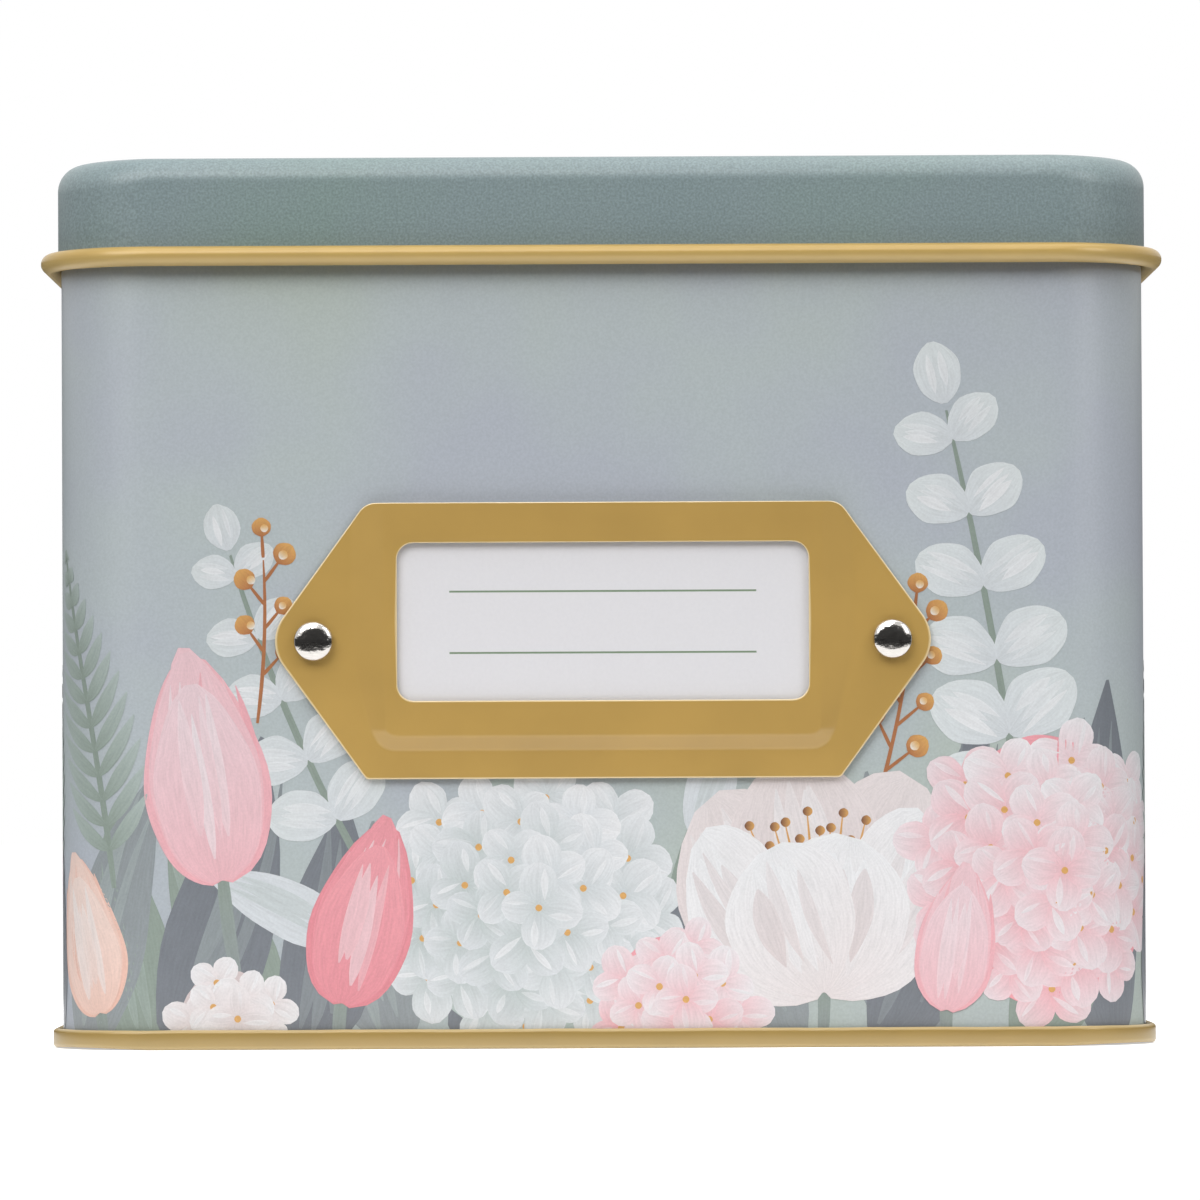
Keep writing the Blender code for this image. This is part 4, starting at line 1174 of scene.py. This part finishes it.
# %% [markdown]
# The label is a slip of card in the holder's pocket. It carries only thin ruled lines to write on. Card
# has thickness, so its edges are softened a little instead of ending in a razor line.

# %% The label and the cards' own shape
def soft_sheet(outline, thickness, soften):
    """A flat outline as a sheet with softened edges: four copies of the outline, the outer two moved in
    along the outline's normals by `soften`. Returns (4 x points x 3) with depth in the middle place."""
    along = np.roll(outline, -1, 0) - np.roll(outline, 1, 0)
    along /= np.linalg.norm(along, axis=1, keepdims=True)
    inward = np.column_stack((-along[:, 1], along[:, 0]))
    pulls = np.array((soften, 0, 0, soften))
    depths = np.array((0, soften, thickness - soften, thickness))[:, None]
    flat = outline[None] + pulls[:, None, None] * inward[None]
    return joined(flat[..., 0], depths, flat[..., 1])


def round_rectangle(low, high, radius):
    """Counter-clockwise points of a rectangle with round corners."""
    (x0, z0), (x1, z1) = low, high
    left, right, foot, top = x0 + radius, x1 - radius, z0 + radius, z1 - radius
    corners = ((right, top), (left, top), (left, foot), (right, foot))
    return np.vstack([arc(c, radius, 90 * i, 90 * i + 90, 8) for i, c in enumerate(corners)])


LABEL_RADIUS, LABEL_SOFTENING = 0.5 * MM, 0.08 * MM
label_low, label_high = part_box("label_card")
plan = round_rectangle((label_low.x, label_low.z), (label_high.x, label_high.z), LABEL_RADIUS)
label_grid = soft_sheet(plan, label_high.y - label_low.y, LABEL_SOFTENING) + (0, label_low.y, 0)
label = closed_sweep("label_slip", label_grid, capped=True)
report(dress(label, label_paper, "label", "label_card"))

# %% [markdown]
# Thirty cards and six tabbed dividers lean on the back wall. Each is the same sheet at another place:
# stand it on the floor, lean it back, and step forward by the pitch of the stack.

# %% The cards and dividers
GROUPS, CARDS_IN_GROUP = 6, 5
CARD_WIDTH, CARD_HEIGHT, DIVIDER_HEIGHT = 110 * MM, 82 * MM, 84 * MM
CARD_THICKNESS, CARD_RADIUS, CARD_SOFTENING = 0.45 * MM, 3 * MM, 0.09 * MM
TAB_WIDTH, TAB_HEIGHT, TAB_RADIUS = 16.5 * MM, 6.5 * MM, 2 * MM
LOCK_FOLD, FLOOR = 0.3 * MM, 2.5 * MM
LEAN = math.radians(4.5)


def divider_outline(group):
    """A card's outline whose top edge rises into a tab; the tabs step across from group to group."""
    side, foot, top = CARD_WIDTH / 2 - CARD_RADIUS, CARD_RADIUS, DIVIDER_HEIGHT - CARD_RADIUS
    left = -side + (2 * side - TAB_WIDTH) * group / (GROUPS - 1)
    right, tab_centre = left + TAB_WIDTH, DIVIDER_HEIGHT + TAB_HEIGHT - TAB_RADIUS
    parts = [
        arc((side, foot), CARD_RADIUS, 270, 360, 8),
        arc((side, top), CARD_RADIUS, 0, 88, 8),
        np.array([(right, DIVIDER_HEIGHT)]),
        arc((right - 2 * TAB_RADIUS, tab_centre), TAB_RADIUS, 15, 90, 8),
        arc((left + 2 * TAB_RADIUS, tab_centre), TAB_RADIUS, 90, 165, 8),
        np.array([(left, DIVIDER_HEIGHT)]),
        arc((-side, top), CARD_RADIUS, 92, 180, 8),
        arc((-side, foot), CARD_RADIUS, 180, 270, 8),
    ]
    return np.vstack(parts)


def leaned(grid, foot_y, foot_z):
    """Turns a standing sheet back about its foot: y = foot + d cos + h sin, z = foot - d sin + h cos."""
    x, depth, height = np.moveaxis(grid, -1, 0)
    y = foot_y + depth * math.cos(LEAN) + height * math.sin(LEAN)
    return joined(x, y, foot_z - depth * math.sin(LEAN) + height * math.cos(LEAN))


back_face = BODY_DEPTH / 2 - TINPLATE - LOCK_FOLD - CLEARANCE
pitch = (CARD_THICKNESS + CLEARANCE) / math.cos(LEAN)
last_foot = back_face - CARD_HEIGHT * math.sin(LEAN) - CARD_THICKNESS * math.cos(LEAN)
foot_up = FLOOR + CLEARANCE + CARD_THICKNESS * math.sin(LEAN)
card_outline = round_rectangle((-CARD_WIDTH / 2, 0), (CARD_WIDTH / 2, CARD_HEIGHT), CARD_RADIUS)
SHEETS = GROUPS * (CARDS_IN_GROUP + 1)
for number in range(SHEETS):
    group, member = divmod(number, CARDS_IN_GROUP + 1)
    shape = card_outline if member else divider_outline(group)
    node = f"prayer_card_{group + 1}_{member}" if member else f"divider_{group + 1}"
    foot_y = last_foot - (SHEETS - 1 - number) * pitch
    grid = leaned(soft_sheet(shape, CARD_THICKNESS, CARD_SOFTENING), foot_y, foot_up)
    sheet = closed_sweep(node.replace("prayer_card", "card") + "_sheet", grid, capped=True)
    material, slot = (card_stock, "card_stock") if member else (divider_stock, "divider_stock")
    dress(sheet, material, f"cards_{group + 1}", node)
print("cards and dividers:", SHEETS)

# %% [markdown]
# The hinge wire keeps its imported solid. Only its finish changes.

# %% The hinge wire
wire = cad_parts["hinge_wire"]
for material_slot in wire.material_slots:
    material_slot.material = bright_wire

# %% [markdown]
# The tin stands on a white table. For the camera and for mirror-like surfaces the table also glows a
# little, so it reads as white while the tin's soft shadow stays. Farther out it is dark to everything but
# the camera, as the floor round a small table is.

# %% The table
LIT, MIRRORED = (0.14, 0.20), (0.17, 0.25)


def masked_tone(material, reach, outside, inside):
    """A grey that is `inside` near the middle and `outside` far from it. It changes over a reach, given
    as two distances in metres."""
    length = add(material, "ShaderNodeVectorMath", {0: place(material)}, operation="LENGTH").outputs["Value"]
    inputs = {"Value": length, "From Min": reach[0], "From Max": reach[1], "To Min": 1.0, "To Max": 0.0}
    mask = add(material, "ShaderNodeMapRange", inputs, interpolation_type="SMOOTHSTEP").outputs["Result"]
    return ramp(material, mask, (0.0, grey(outside)), (1.0, grey(inside)))


def any_ray(owner, *names):
    """1 for a ray of any of these kinds."""
    rays = add(owner, "ShaderNodeLightPath").outputs
    found = rays[names[0]]
    for name in names[1:]:
        found = worked(owner, "MAXIMUM", found, rays[name])
    return found


def mixed(owner, factor, first, second):
    """A shader mix: factor 0 gives the first, 1 the second."""
    return add(owner, "ShaderNodeMixShader", {0: factor, 1: first, 2: second}).outputs[0]


def with_glow(material, shader, tone):
    """A shader with a glow of its own added."""
    glow = add(material, "ShaderNodeEmission", {"Color": tone}).outputs[0]
    return add(material, "ShaderNodeAddShader", {0: shader, 1: glow}).outputs[0]


radii = (0.05, 0.12, 0.2, 0.3, 0.5, 4.0)
table_grid = oval_rings(np.zeros((6, 3)), radii, radii, False, 96)
table = mesh_object("table", table_grid, grid_faces(6, 96), (np.arange(96),))
table_white = bpy.data.materials.new("table_white")
table_white.use_nodes = True
table_white.node_tree.nodes.clear()
matt_tone = masked_tone(table_white, LIT, 0.04, 0.9)
matt = add(table_white, "ShaderNodeBsdfDiffuse", {"Color": matt_tone}).outputs[0]
for_camera = with_glow(table_white, matt, masked_tone(table_white, LIT, 1.0, 0.5))
for_mirror = with_glow(table_white, matt, masked_tone(table_white, MIRRORED, 0.0, 0.42))
surface = mixed(table_white, any_ray(table_white, "Is Glossy Ray"), matt, for_mirror)
seen_ray = any_ray(table_white, "Is Camera Ray", "Is Transmission Ray")
surface = mixed(table_white, seen_ray, surface, for_camera)
add(table_white, "ShaderNodeOutputMaterial", {"Surface": surface})
table.data.materials.append(table_white)

# %% [markdown]
# A photographer sets black card round a shiny thing, out of the picture, so that its edges and its bright
# rivets have something dark to reflect. Here that is a low ring, and an oval card where the photographer
# stands. The camera sees neither.

# %% Black card round the table
ring_grid = oval_rings(((0, 0, 0.002), (0, 0, 0.15)), (0.52, 0.52), (0.52, 0.52), False, 96)
shares = np.array((0.05, 0.5, 1.0))
oval_grid = oval_rings(np.repeat([(0, -0.62, 0.20)], 3, 0), 0.38 * shares, 0.27 * shares, True, 64)
black = finish("black_card", 0.9, specular=0.1)
black.node_tree.nodes["Principled BSDF"].inputs["Base Color"].default_value = grey(0.12)
black_ring = mesh_object("black_ring", ring_grid, grid_faces(2, 96))
black_disc = mesh_object("black_disc", oval_grid, grid_faces(3, 64), (np.arange(64),))
for card in (black_ring, black_disc):
    card.data.materials.append(black)
    card.visible_camera = False

# %% [markdown]
# The light is that of a product table: a wide soft lamp above and to the left, a second one overhead, and
# a weak one from the right. The levels are set so that a colour comes out about as it is written.

# %% Lamps and world
def soft_lamp(name, at, width, height, power):
    """An area lamp at a place, turned to face the tin."""
    lamp = bpy.data.lights.new(name, "AREA")
    lamp.shape = "RECTANGLE"
    lamp.size, lamp.size_y = width, height
    lamp.energy = power
    stand = linked(name, lamp)
    stand.location = at
    stand.rotation_euler = (Vector((0, 0, 0.05)) - Vector(at)).to_track_quat("-Z", "Y").to_euler()


soft_lamp("key_softbox", (-0.5, -1.0, 1.05), 1.3, 0.9, 17)
soft_lamp("overhead_softbox", (0.1, -0.1, 1.3), 1.3, 0.9, 6)
soft_lamp("right_softbox", (1.1, -0.9, 0.95), 0.6, 0.8, 7)

world = bpy.data.worlds.new("pale_room")
bpy.context.scene.world = world
world.use_nodes = True
world.node_tree.nodes.clear()
white_seen = any_ray(world, "Is Camera Ray", "Is Glossy Ray", "Is Transmission Ray")
room = add(world, "ShaderNodeBackground", {"Color": grey(1.0), "Strength": 0.6}).outputs[0]
white = add(world, "ShaderNodeBackground", {"Color": grey(1.0), "Strength": 1.0}).outputs[0]
add(world, "ShaderNodeOutputWorld", {"Surface": mixed(world, white_seen, room, white)})

# %% [markdown]
# The camera stands 0.8 m in front of the tin, a little below its middle, and looks up by less than a
# degree. A long lens keeps the uprights parallel, and a small shift sets the tin in the frame.

# %% The camera
camera_data = bpy.data.cameras.new("product_camera")
camera = linked("product_camera", camera_data)
camera_data.sensor_width = 36
camera_data.lens = 202.1
camera_data.shift_y = 0.0805
camera.matrix_world = (
    Matrix.Translation((-0.37 * MM, -0.8, 0.028))
    @ Matrix.Rotation(math.radians(90.9), 4, "X")
    @ Matrix.Rotation(math.radians(-0.267), 4, "Z")
)
bpy.context.scene.camera = camera
bpy.context.scene.view_settings.view_transform = "Standard"
